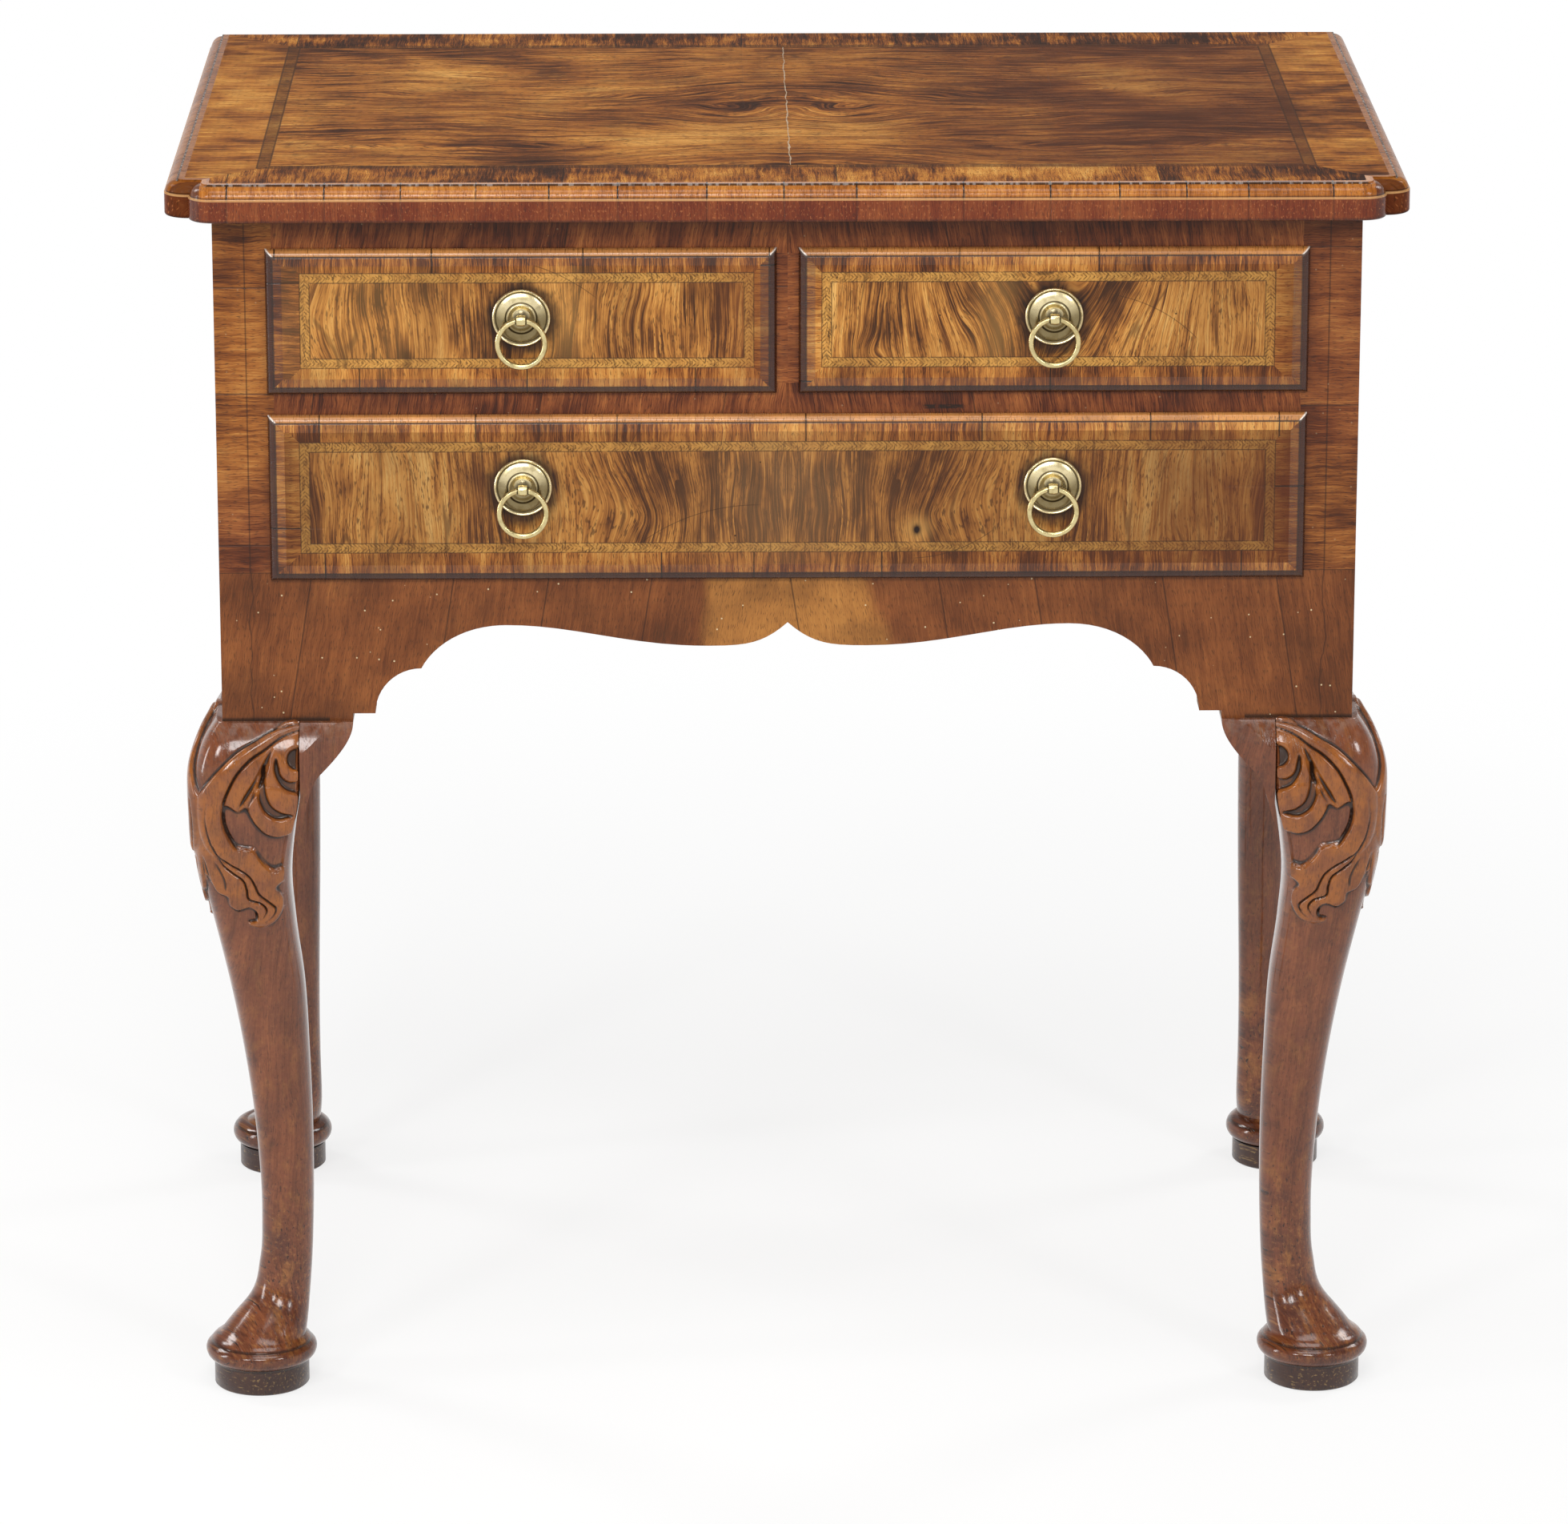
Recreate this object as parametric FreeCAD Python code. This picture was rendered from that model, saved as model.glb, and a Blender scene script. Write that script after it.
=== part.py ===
"""Walnut lowboy: a small dressing table with three drawers on cabriole legs.

Units are millimetres. X runs to the right, Y away from the front, Z up.
The origin is on the floor, at the middle of the top's width and depth.
Each physical piece is written to its own STEP file in parts/.
"""
import FreeCAD, Part
import math
import os

V = FreeCAD.Vector

# ---------------------------------------------------------------- driving sizes
# Overall
TOP_WIDTH = 711.0
TOP_DEPTH = 464.0
OVERALL_HEIGHT = 735.0
TOP_THICKNESS = 21.0
CASE_HEIGHT = 300.0
SIDE_OVERHANG = 27.0
FRONT_OVERHANG = 24.0
BACK_OVERHANG = 25.5

# Top moulding
MOULDING_WIDTH = 12.0
FASCIA_HEIGHT = 13.0
FASCIA_STEP = 0.7
OVOLO_RADIUS = 7.0
FASCIA_EDGE_RADIUS = 1.5
CORNER_LOBE_RADIUS = 14.5

# Carcase boards
SIDE_THICKNESS = 18.0
BACK_THICKNESS = 12.0
BACK_REBATE_WIDTH = 9.0
LOWER_BACK_BOARD_HEIGHT = 160.0
FRAME_DEPTH = 20.0
STILE_WIDTH = 15.3
TOP_RAIL_HEIGHT = 22.5
MIDDLE_RAIL_HEIGHT = 19.3
UPPER_OPENING_HEIGHT = 78.2
APRON_HEIGHT = 89.0
DIVIDER_WIDTH = 19.5
TENON_LENGTH = 8.0
TENON_THICKNESS = 8.0
TENON_SHOULDER = 4.0

# Apron outline, as heights above the case's bottom edge and half widths from the middle
APRON_CUSP_RISE = 58.5
APRON_LOW_RISE = 44.5
APRON_LOW_X = 46.0
APRON_ARCH_RISE = 57.3
APRON_ARCH_X = 163.0
APRON_NOTCH_RISE = 31.5
APRON_NOTCH_X = 212.5
APRON_END_RADIUS = 27.0

# Runners, guides, kickers, blocks and screws inside the case
RUNNER_WIDTH = 29.0
RUNNER_THICKNESS = 16.0
CENTRE_RUNNER_WIDTH = 60.0
GUIDE_HEIGHT = 25.0
KICKER_WIDTH = 30.0
CENTRE_KICKER_WIDTH = 48.0
GLUE_BLOCK_SIZE = 20.0
GLUE_BLOCK_LENGTH = 50.0
SCREW_RADIUS = 2.0
SCREW_HEAD_RADIUS = 4.0
SCREW_HEAD_HEIGHT = 3.0
SCREW_LENGTH = 34.0
SCREW_INSET = 60.0
DRILL_CLEARANCE = 0.1

# Drawers
LIP_OVERLAP = 4.2
LIP_PROUD = 5.0
LIP_STRIP_WIDTH = 9.5
LIP_SEAT_GAP = 0.3
DRAWER_FRONT_THICKNESS = 21.0
DRAWER_SIDE_THICKNESS = 9.0
DRAWER_BACK_THICKNESS = 9.0
DRAWER_BOTTOM_THICKNESS = 6.0
DRAWER_BOTTOM_RISE = 6.0
DRAWER_GROOVE_DEPTH = 4.0
DRAWER_SIDE_GAP = 0.7
DRAWER_TOP_GAP = 1.2
DRAWER_RUN_GAP = 0.3
DRAWER_REAR_GAP = 12.0
DRAWER_BACK_DROP = 5.0
DOVETAIL_LAP = 6.0
DOVETAIL_SLOPE = 1.0 / 6.0
DOVETAIL_FILL = 0.55
DOVETAIL_PITCH = 24.0

# Handles
PLATE_RADIUS = 16.8
PLATE_THICKNESS = 1.2
PLATE_RIM_RADIUS = 1.1
PLATE_BOSS_RADIUS = 7.4
PLATE_BOSS_HEIGHT = 3.0
PLATE_BOSS_SLOPE = 1.5
POST_RADIUS = 2.2
POST_REACH = 8.6
EYE_WIDTH = 5.0
EYE_WALL = 1.6
NUT_WIDTH = 9.0
NUT_THICKNESS = 3.0
POST_TAIL = 2.0
RING_OUTER_RADIUS = 15.2
RING_WIRE_RADIUS = 1.65
RING_CLEARANCE = 0.3
UPPER_HANDLE_RISE = 2.5
LONG_HANDLE_RISE = 6.5

# Front legs: the block at the knee, the pad foot and its disc
KNEE_BLOCK = 45.0
KNEE_BULGE = 18.5
KNEE_BACK_HOLLOW = 7.0
ANKLE_RADIUS = 15.4
ANKLE_INSET = 30.6
FOOT_INSET = 14.4
FOOT_RING_RADIUS = 33.0
FOOT_RING_THICKNESS = 15.0
FOOT_RING_HEIGHT = 22.5
FOOT_DISC_RADIUS = 28.2
FOOT_DISC_CHAMFER = 1.0
FOOT_FLARE_HEIGHT = 20.0
FOOT_SEAT = 1.0
BRACKET_REACH = 31.0
BRACKET_DROP = 60.0
BRACKET_THICKNESS = 30.0
BRACKET_PROUD = 2.5
BRACKET_SWELL = 14.0

# Rear legs: a square block, a turned shaft and an offset pad foot
REAR_BLOCK = 38.0
REAR_BLOCK_HEIGHT = 26.0
REAR_SHAFT_TOP_RADIUS = 17.0
REAR_ANKLE_RADIUS = 13.8
REAR_NECK_HEIGHT = 12.0
REAR_FLARE_HEIGHT = 36.0
REAR_FOOT_OFFSET = 12.5
REAR_RING_RADIUS = 31.8
REAR_DISC_RADIUS = 27.5

# ---------------------------------------------------------------- derived places
TOP_HALF_WIDTH = TOP_WIDTH / 2
TOP_FRONT_Y = -TOP_DEPTH / 2
TOP_BACK_Y = TOP_DEPTH / 2
CASE_TOP_Z = OVERALL_HEIGHT - TOP_THICKNESS
CASE_BOTTOM_Z = CASE_TOP_Z - CASE_HEIGHT
CASE_HALF_WIDTH = TOP_HALF_WIDTH - SIDE_OVERHANG
CASE_FRONT_Y = TOP_FRONT_Y + FRONT_OVERHANG
CASE_BACK_Y = TOP_BACK_Y - BACK_OVERHANG
FRAME_BACK_Y = CASE_FRONT_Y + FRAME_DEPTH
BACK_INNER_Y = CASE_BACK_Y - BACK_THICKNESS
SIDE_INNER_X = CASE_HALF_WIDTH - SIDE_THICKNESS
OPENING_HALF_WIDTH = SIDE_INNER_X - STILE_WIDTH
UPPER_OPENING_TOP_Z = CASE_TOP_Z - TOP_RAIL_HEIGHT
UPPER_OPENING_BOTTOM_Z = UPPER_OPENING_TOP_Z - UPPER_OPENING_HEIGHT
LOWER_OPENING_TOP_Z = UPPER_OPENING_BOTTOM_Z - MIDDLE_RAIL_HEIGHT
LOWER_OPENING_HEIGHT = LOWER_OPENING_TOP_Z - CASE_BOTTOM_Z - APRON_HEIGHT
LOWER_OPENING_BOTTOM_Z = LOWER_OPENING_TOP_Z - LOWER_OPENING_HEIGHT
LEG_POST_TOP_Z = LOWER_OPENING_BOTTOM_Z - RUNNER_THICKNESS
BRACKET_HEAD_X = CASE_HALF_WIDTH - KNEE_BLOCK
BRACKET_TIP_X = BRACKET_HEAD_X - BRACKET_REACH
DRAWER_FACE_Y = CASE_FRONT_Y - LIP_PROUD
DRAWER_FRONT_BACK_Y = DRAWER_FACE_Y + DRAWER_FRONT_THICKNESS
DRAWER_END_Y = BACK_INNER_Y - DRAWER_REAR_GAP
RING_MEAN_RADIUS = RING_OUTER_RADIUS - RING_WIRE_RADIUS
RING_SAG = (EYE_WIDTH / 2) ** 2 / (2 * RING_MEAN_RADIUS)
EYE_HOLE_RADIUS = RING_WIRE_RADIUS + RING_SAG + RING_CLEARANCE
EYE_RADIUS = EYE_HOLE_RADIUS + EYE_WALL


# ---------------------------------------------------------------- small helpers
def block(x_range, y_range, z_range):
    """A box from its three ranges, each given in either order."""
    low = V(min(x_range), min(y_range), min(z_range))
    size = [abs(r[1] - r[0]) for r in (x_range, y_range, z_range)]
    return Part.makeBox(size[0], size[1], size[2], low)


def prism(points, direction):
    """A solid from a flat closed outline of points, pushed along a direction."""
    wire = Part.makePolygon(points + [points[0]])
    return Part.Face(wire).extrude(direction)


def mirror_x(shape):
    """The left-hand twin of a right-hand shape."""
    return shape.mirror(V(0, 0, 0), V(1, 0, 0))


def save(name, shape):
    """Write one piece, or a group of like pieces, to its own file."""
    shape.exportStep("parts/" + name + ".step")


def save_pair(name, right_shape):
    """Write a right-hand piece and its left-hand twin."""
    save(name + "_right", right_shape)
    save(name + "_left", mirror_x(right_shape))


# ---------------------------------------------------------------- top
def top_core_outline():
    """The panel inside the mouldings, with a small re-entrant notch at each front corner."""
    side_x = TOP_HALF_WIDTH - MOULDING_WIDTH
    front_y = TOP_FRONT_Y + MOULDING_WIDTH
    notch_x = TOP_HALF_WIDTH - CORNER_LOBE_RADIUS - MOULDING_WIDTH
    notch_y = TOP_FRONT_Y + CORNER_LOBE_RADIUS + MOULDING_WIDTH
    inner_radius = CORNER_LOBE_RADIUS - MOULDING_WIDTH
    bend_x = notch_x - inner_radius
    bend_y = notch_y + inner_radius
    diagonal = inner_radius * math.sqrt(0.5)
    front_arc_middle = V(bend_x + diagonal, front_y + inner_radius - diagonal, 0)
    side_arc_middle = V(side_x - inner_radius + diagonal, bend_y - diagonal, 0)
    right = [
        Part.LineSegment(V(0, front_y, 0), V(bend_x, front_y, 0)),
        Part.Arc(V(bend_x, front_y, 0), front_arc_middle, V(notch_x, front_y + inner_radius, 0)),
        Part.LineSegment(V(notch_x, front_y + inner_radius, 0), V(notch_x, notch_y, 0)),
        Part.LineSegment(V(notch_x, notch_y, 0), V(side_x - inner_radius, notch_y, 0)),
        Part.Arc(V(side_x - inner_radius, notch_y, 0), side_arc_middle, V(side_x, bend_y, 0)),
        Part.LineSegment(V(side_x, bend_y, 0), V(side_x, TOP_BACK_Y, 0)),
        Part.LineSegment(V(side_x, TOP_BACK_Y, 0), V(0, TOP_BACK_Y, 0)),
    ]
    edges = [curve.toShape() for curve in right]
    return edges + [mirror_x(edge) for edge in edges]


def top_panel(screws):
    edges = Part.__sortEdges__(top_core_outline())
    face = Part.Face(Part.Wire(edges))
    face.translate(V(0, 0, CASE_TOP_Z))
    panel = face.extrude(V(0, 0, TOP_THICKNESS))
    return panel.cut(screw_holes(screws))


def moulding_section():
    """Cross-section in X (inwards from the outer face) and Z, drawn in the plane Y = 0.

    A vertical fascia with softened lower edge, a fine step, a quarter round and a fine quirk.
    """
    bottom = CASE_TOP_Z
    fascia_top = bottom + FASCIA_HEIGHT
    step_x = FASCIA_STEP
    round_top = fascia_top + OVOLO_RADIUS
    soft = FASCIA_EDGE_RADIUS
    lean = math.sqrt(0.5)
    soft_middle = V(soft * (1 - lean), 0, bottom + soft * (1 - lean))
    ovolo_centre = V(step_x + OVOLO_RADIUS, 0, fascia_top)
    ovolo_middle = ovolo_centre + V(-OVOLO_RADIUS * lean, 0, OVOLO_RADIUS * lean)
    edges = [
        Part.LineSegment(V(MOULDING_WIDTH, 0, bottom), V(soft, 0, bottom)),
        Part.Arc(V(soft, 0, bottom), soft_middle, V(0, 0, bottom + soft)),
        Part.LineSegment(V(0, 0, bottom + soft), V(0, 0, fascia_top)),
        Part.LineSegment(V(0, 0, fascia_top), V(step_x, 0, fascia_top)),
        Part.Arc(V(step_x, 0, fascia_top), ovolo_middle, V(step_x + OVOLO_RADIUS, 0, round_top)),
        Part.LineSegment(V(step_x + OVOLO_RADIUS, 0, round_top),
                         V(step_x + OVOLO_RADIUS, 0, OVERALL_HEIGHT)),
        Part.LineSegment(V(step_x + OVOLO_RADIUS, 0, OVERALL_HEIGHT),
                         V(MOULDING_WIDTH, 0, OVERALL_HEIGHT)),
        Part.LineSegment(V(MOULDING_WIDTH, 0, OVERALL_HEIGHT), V(MOULDING_WIDTH, 0, bottom)),
    ]
    return Part.Face(Part.Wire([curve.toShape() for curve in edges]))


def left_side_moulding():
    """The left moulding: back edge to its front lobe, mitred along the corner's diagonal."""
    lobe_y = TOP_FRONT_Y + 2 * CORNER_LOBE_RADIUS
    outer_x = -TOP_HALF_WIDTH
    section = moulding_section()
    section.translate(V(outer_x, lobe_y, 0))
    straight = section.extrude(V(0, TOP_BACK_Y - lobe_y, 0))
    lobe_axis = V(outer_x + CORNER_LOBE_RADIUS, lobe_y, 0)
    lobe = section.revolve(lobe_axis, V(0, 0, 1), 90)
    turned = section.copy()
    turned.rotate(lobe_axis, V(0, 0, 1), 90)
    run_in = turned.extrude(V(MOULDING_WIDTH, 0, 0))
    moulding = straight.fuse([lobe, run_in]).removeSplitter()
    return moulding.cut(corner_mitre_waste(front_side=True))


def front_moulding():
    """The front moulding, with a lobe at each end, mitred along both corner diagonals."""
    lobe_x = -TOP_HALF_WIDTH + 2 * CORNER_LOBE_RADIUS
    section = moulding_section()
    section.rotate(V(0, 0, 0), V(0, 0, 1), 90)
    section.translate(V(lobe_x, TOP_FRONT_Y, 0))
    straight = section.extrude(V(-2 * lobe_x, 0, 0))
    lobe_axis = V(lobe_x, TOP_FRONT_Y + CORNER_LOBE_RADIUS, 0)
    lobe = section.revolve(lobe_axis, V(0, 0, 1), -90)
    turned = section.copy()
    turned.rotate(lobe_axis, V(0, 0, 1), -90)
    run_in = turned.extrude(V(0, MOULDING_WIDTH, 0))
    end = lobe.fuse(run_in).cut(corner_mitre_waste(front_side=False))
    return straight.fuse([end, mirror_x(end)]).removeSplitter()


def corner_mitre_waste(front_side):
    """A wedge on one side of the left corner's diagonal, taller than the top."""
    reach = CORNER_LOBE_RADIUS + MOULDING_WIDTH
    corner = V(-TOP_HALF_WIDTH, TOP_FRONT_Y, CASE_TOP_Z)
    inner = corner + V(reach, reach, 0)
    spare = V(1, 0, 0) * MOULDING_WIDTH
    if front_side:
        outer = corner + V(reach, 0, 0) + spare
        points = [corner, outer, inner + spare, inner]
    else:
        back = V(0, 1, 0) * MOULDING_WIDTH
        outer = corner + V(0, reach, 0) + back
        points = [corner, inner, inner + back, outer]
    return prism(points, V(0, 0, TOP_THICKNESS))


# ---------------------------------------------------------------- screws
def screw_places():
    """X and Y of the screws that hold the top: two in each kicker."""
    side_x = SIDE_INNER_X - KICKER_WIDTH / 2
    front_y = FRAME_BACK_Y + SCREW_INSET
    back_y = BACK_INNER_Y - SCREW_INSET
    return [(x, y) for x in (-side_x, 0.0, side_x) for y in (front_y, back_y)]


def screw_solid(x, y, extra):
    """A countersunk screw that enters the kicker's lower face and points up."""
    foot = V(x, y, UPPER_OPENING_TOP_Z)
    up = V(0, 0, 1)
    head = Part.makeCone(SCREW_HEAD_RADIUS + extra, SCREW_RADIUS + extra, SCREW_HEAD_HEIGHT, foot, up)
    shank = Part.makeCylinder(SCREW_RADIUS + extra, SCREW_LENGTH + extra, foot, up)
    return head.fuse(shank).removeSplitter()


def screw_holes(places):
    return Part.makeCompound([screw_solid(x, y, DRILL_CLEARANCE) for x, y in places])


# ---------------------------------------------------------------- case
def case_side():
    side = block((SIDE_INNER_X, CASE_HALF_WIDTH), (CASE_FRONT_Y, CASE_BACK_Y),
                 (CASE_BOTTOM_Z, CASE_TOP_Z))
    rebate = block((SIDE_INNER_X, SIDE_INNER_X + BACK_REBATE_WIDTH), (BACK_INNER_Y, CASE_BACK_Y),
                   (CASE_BOTTOM_Z, CASE_TOP_Z))
    return side.cut(rebate)


def back_board(z_range):
    half = SIDE_INNER_X + BACK_REBATE_WIDTH
    return block((-half, half), (BACK_INNER_Y, CASE_BACK_Y), z_range)


def rail(half_length, z_range):
    """A front rail between the stiles, with a stub tenon at each end."""
    body = block((-half_length, half_length), (CASE_FRONT_Y, FRAME_BACK_Y), z_range)
    return body.fuse(tenons(half_length, z_range)).removeSplitter()


def tenons(half_length, z_range):
    middle_y = CASE_FRONT_Y + FRAME_DEPTH / 2
    y_range = (middle_y - TENON_THICKNESS / 2, middle_y + TENON_THICKNESS / 2)
    inner_z = (min(z_range) + TENON_SHOULDER, max(z_range) - TENON_SHOULDER)
    right = block((half_length, half_length + TENON_LENGTH), y_range, inner_z)
    return Part.makeCompound([right, mirror_x(right)])


def stile(rails):
    body = block((OPENING_HALF_WIDTH, SIDE_INNER_X), (CASE_FRONT_Y, FRAME_BACK_Y),
                 (CASE_BOTTOM_Z, CASE_TOP_Z))
    return body.cut(rails)


def divider():
    """The upright between the short drawers, with a stub tenon into each rail."""
    half = DIVIDER_WIDTH / 2
    body = block((-half, half), (CASE_FRONT_Y, FRAME_BACK_Y),
                 (UPPER_OPENING_BOTTOM_Z, UPPER_OPENING_TOP_Z))
    middle_y = CASE_FRONT_Y + FRAME_DEPTH / 2
    y_range = (middle_y - TENON_THICKNESS / 2, middle_y + TENON_THICKNESS / 2)
    inner_half = half - TENON_SHOULDER
    tongue = block((-inner_half, inner_half), y_range,
                   (UPPER_OPENING_BOTTOM_Z - TENON_LENGTH, UPPER_OPENING_TOP_Z + TENON_LENGTH))
    return body.fuse(tongue).removeSplitter()


def apron_edge():
    """The right half of the apron's lower outline, from the middle cusp to the flat end."""
    base = CASE_BOTTOM_Z
    cusp = V(0, 0, base + APRON_CUSP_RISE)
    low = V(APRON_LOW_X, 0, base + APRON_LOW_RISE)
    arch = V(APRON_ARCH_X, 0, base + APRON_ARCH_RISE)
    notch = V(APRON_NOTCH_X, 0, base + APRON_NOTCH_RISE)
    end_centre = V(APRON_NOTCH_X, 0, notch.z - APRON_END_RADIUS)
    end_foot = end_centre + V(APRON_END_RADIUS, 0, 0)
    lean = APRON_END_RADIUS * math.sqrt(0.5)
    end_middle = end_centre + V(lean, 0, lean)
    # Each swept stretch is a cubic whose inner poles lie along its end tangents.
    cusp_pull = cusp + V(APRON_LOW_X * 0.32, 0, -(APRON_CUSP_RISE - APRON_LOW_RISE) * 0.95)
    low_pull = low + V(-APRON_LOW_X * 0.45, 0, 0)
    low_lead = low + V((APRON_ARCH_X - APRON_LOW_X) * 0.40, 0, 0)
    arch_lead = arch + V(-(APRON_ARCH_X - APRON_LOW_X) * 0.34, 0, 0)
    arch_pull = arch + V((APRON_NOTCH_X - APRON_ARCH_X) * 0.55, 0, 0)
    notch_pull = notch + V(-(APRON_NOTCH_X - APRON_ARCH_X) * 0.12, 0,
                           (APRON_ARCH_RISE - APRON_NOTCH_RISE) * 0.45)
    curves = [
        cubic(cusp, cusp_pull, low_pull, low),
        cubic(low, low_lead, arch_lead, arch),
        cubic(arch, arch_pull, notch_pull, notch),
        Part.Arc(notch, end_middle, end_foot).toShape(),
        Part.makeLine(end_foot, V(BRACKET_TIP_X, 0, end_foot.z)),
        Part.makeLine(V(BRACKET_TIP_X, 0, end_foot.z), V(BRACKET_TIP_X, 0, base)),
        Part.makeLine(V(BRACKET_TIP_X, 0, base), V(OPENING_HALF_WIDTH, 0, base)),
    ]
    return curves


def cubic(start, start_pull, end_pull, end):
    curve = Part.BezierCurve()
    curve.setPoles([start, start_pull, end_pull, end])
    return curve.toShape()


def apron():
    """The shaped front board below the long drawer; its top edge is the drawer's sill."""
    right = apron_edge()
    top_z = LOWER_OPENING_BOTTOM_Z
    right.append(Part.makeLine(V(OPENING_HALF_WIDTH, 0, CASE_BOTTOM_Z), V(OPENING_HALF_WIDTH, 0, top_z)))
    top = Part.makeLine(V(OPENING_HALF_WIDTH, 0, top_z), V(-OPENING_HALF_WIDTH, 0, top_z))
    edges = Part.__sortEdges__(right + [top] + [mirror_x(edge) for edge in right])
    face = Part.Face(Part.Wire(edges))
    face.translate(V(0, CASE_FRONT_Y, 0))
    board = face.extrude(V(0, FRAME_DEPTH, 0))
    tenon_range = (CASE_BOTTOM_Z + APRON_NOTCH_RISE, top_z)
    return board.fuse(tenons(OPENING_HALF_WIDTH, tenon_range)).removeSplitter()


# ---------------------------------------------------------------- inside the case
def runner_pair(top_z):
    """Outer runners, glued to the sides and wide enough to carry the drawer's sides."""
    right = block((SIDE_INNER_X - RUNNER_WIDTH, SIDE_INNER_X), (FRAME_BACK_Y, BACK_INNER_Y),
                  (top_z - RUNNER_THICKNESS, top_z))
    return Part.makeCompound([right, mirror_x(right)])


def centre_runner():
    half = CENTRE_RUNNER_WIDTH / 2
    return block((-half, half), (FRAME_BACK_Y, BACK_INNER_Y),
                 (UPPER_OPENING_BOTTOM_Z - RUNNER_THICKNESS, UPPER_OPENING_BOTTOM_Z))


def drawer_guides():
    """Strips that keep the drawers in line with their openings."""
    y_range = (FRAME_BACK_Y, BACK_INNER_Y)
    guides = []
    for base in (UPPER_OPENING_BOTTOM_Z, LOWER_OPENING_BOTTOM_Z):
        right = block((OPENING_HALF_WIDTH, SIDE_INNER_X), y_range, (base, base + GUIDE_HEIGHT))
        guides += [right, mirror_x(right)]
    half = DIVIDER_WIDTH / 2
    guides.append(block((-half, half), y_range,
                        (UPPER_OPENING_BOTTOM_Z, UPPER_OPENING_BOTTOM_Z + GUIDE_HEIGHT)))
    return Part.makeCompound(guides)


def kickers(screws):
    """Strips under the top that stop the short drawers from tipping, drilled for the screws."""
    y_range = (FRAME_BACK_Y, BACK_INNER_Y)
    z_range = (UPPER_OPENING_TOP_Z, CASE_TOP_Z)
    right = block((SIDE_INNER_X - KICKER_WIDTH, SIDE_INNER_X), y_range, z_range)
    middle = block((-CENTRE_KICKER_WIDTH / 2, CENTRE_KICKER_WIDTH / 2), y_range, z_range)
    holes = screw_holes(screws)
    return Part.makeCompound([strip.cut(holes) for strip in (right, mirror_x(right), middle)])


def glue_blocks():
    """Three-sided blocks in the angle between each lower runner and the case side."""
    top_z = LEG_POST_TOP_Z
    span = BACK_INNER_Y - FRAME_BACK_Y
    outline = [V(SIDE_INNER_X, 0, top_z), V(SIDE_INNER_X - GLUE_BLOCK_SIZE, 0, top_z),
               V(SIDE_INNER_X, 0, top_z - GLUE_BLOCK_SIZE)]
    blocks = []
    for share in (0.35, 0.65):
        right = prism(outline, V(0, GLUE_BLOCK_LENGTH, 0))
        right.translate(V(0, FRAME_BACK_Y + span * share - GLUE_BLOCK_LENGTH / 2, 0))
        blocks += [right, mirror_x(right)]
    return Part.makeCompound(blocks)


# ---------------------------------------------------------------- legs
def leg_section(centre_x, centre_y, half, z, outer_squareness, inner_squareness):
    """A closed outline between a circle (squareness 2) and a rounded square (higher).

    The quarter that faces out and to the front may be rounder than the other three.
    """
    count = 16
    points = []
    for step in range(count):
        angle = 2 * math.pi * step / count
        c = math.cos(angle)
        s = math.sin(angle)
        power = 2 / (outer_squareness if c > 0 and s < 0 else inner_squareness)
        x = centre_x + half * math.copysign(abs(c) ** power, c)
        y = centre_y + half * math.copysign(abs(s) ** power, s)
        points.append(V(x, y, z))
    curve = Part.BSplineCurve()
    curve.interpolate(points, PeriodicFlag=True)
    return Part.Wire(curve.toShape())


def cabriole_stations():
    """Height, outer face, inner face and the squareness of the arris and of the other corners.

    Both faces are measured inwards from the case corner.
    """
    top = CASE_BOTTOM_Z
    ankle_out = ANKLE_INSET - ANKLE_RADIUS
    ankle_in = ANKLE_INSET + ANKLE_RADIUS
    foot_top = FOOT_RING_HEIGHT + FOOT_RING_THICKNESS / 2
    foot_out = FOOT_INSET - FOOT_RING_RADIUS
    foot_in = FOOT_INSET + FOOT_RING_RADIUS
    flat_edge = FOOT_RING_THICKNESS / 2 - FOOT_SEAT
    spread = ankle_out - foot_out
    hollow = KNEE_BACK_HOLLOW
    return [
        (top, -KNEE_BULGE * 0.22, KNEE_BLOCK, 5.0, 20.0),
        (top * 0.976, -KNEE_BULGE * 0.60, KNEE_BLOCK, 4.4, 20.0),
        (top * 0.945, -KNEE_BULGE * 0.88, KNEE_BLOCK, 4.0, 16.0),
        (top * 0.898, -KNEE_BULGE, KNEE_BLOCK - hollow * 0.09, 3.6, 10.0),
        (top * 0.835, -KNEE_BULGE * 0.95, KNEE_BLOCK - hollow * 0.64, 3.3, 5.6),
        (top * 0.773, -KNEE_BULGE * 0.77, KNEE_BLOCK - hollow, 3.1, 3.5),
        (top * 0.700, -KNEE_BULGE * 0.42, KNEE_BLOCK - hollow * 0.77, 2.9, 2.9),
        (top * 0.604, 0.0, KNEE_BLOCK - hollow * 0.17, 2.6, 2.6),
        (top * 0.490, ankle_out * 0.50, ankle_in - ANKLE_RADIUS * 0.02, 2.4, 2.4),
        (top * 0.360, ankle_out * 0.88, ankle_in + ANKLE_RADIUS * 0.045, 2.2, 2.2),
        (top * 0.240, ankle_out, ankle_in, 2.0, 2.0),
        (top * 0.175, ankle_out - spread * 0.047, ankle_in - ANKLE_RADIUS * 0.08, 2.0, 2.0),
        (foot_top + FOOT_FLARE_HEIGHT, ankle_out - spread * 0.246,
         ankle_in - ANKLE_RADIUS * 0.19, 2.0, 2.0),
        (foot_top + FOOT_FLARE_HEIGHT * 0.45, ankle_out - spread * 0.547,
         ankle_in - ANKLE_RADIUS * 0.25, 2.0, 2.0),
        (foot_top - FOOT_SEAT, foot_out + flat_edge, foot_in - flat_edge, 2.0, 2.0),
    ]


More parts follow.
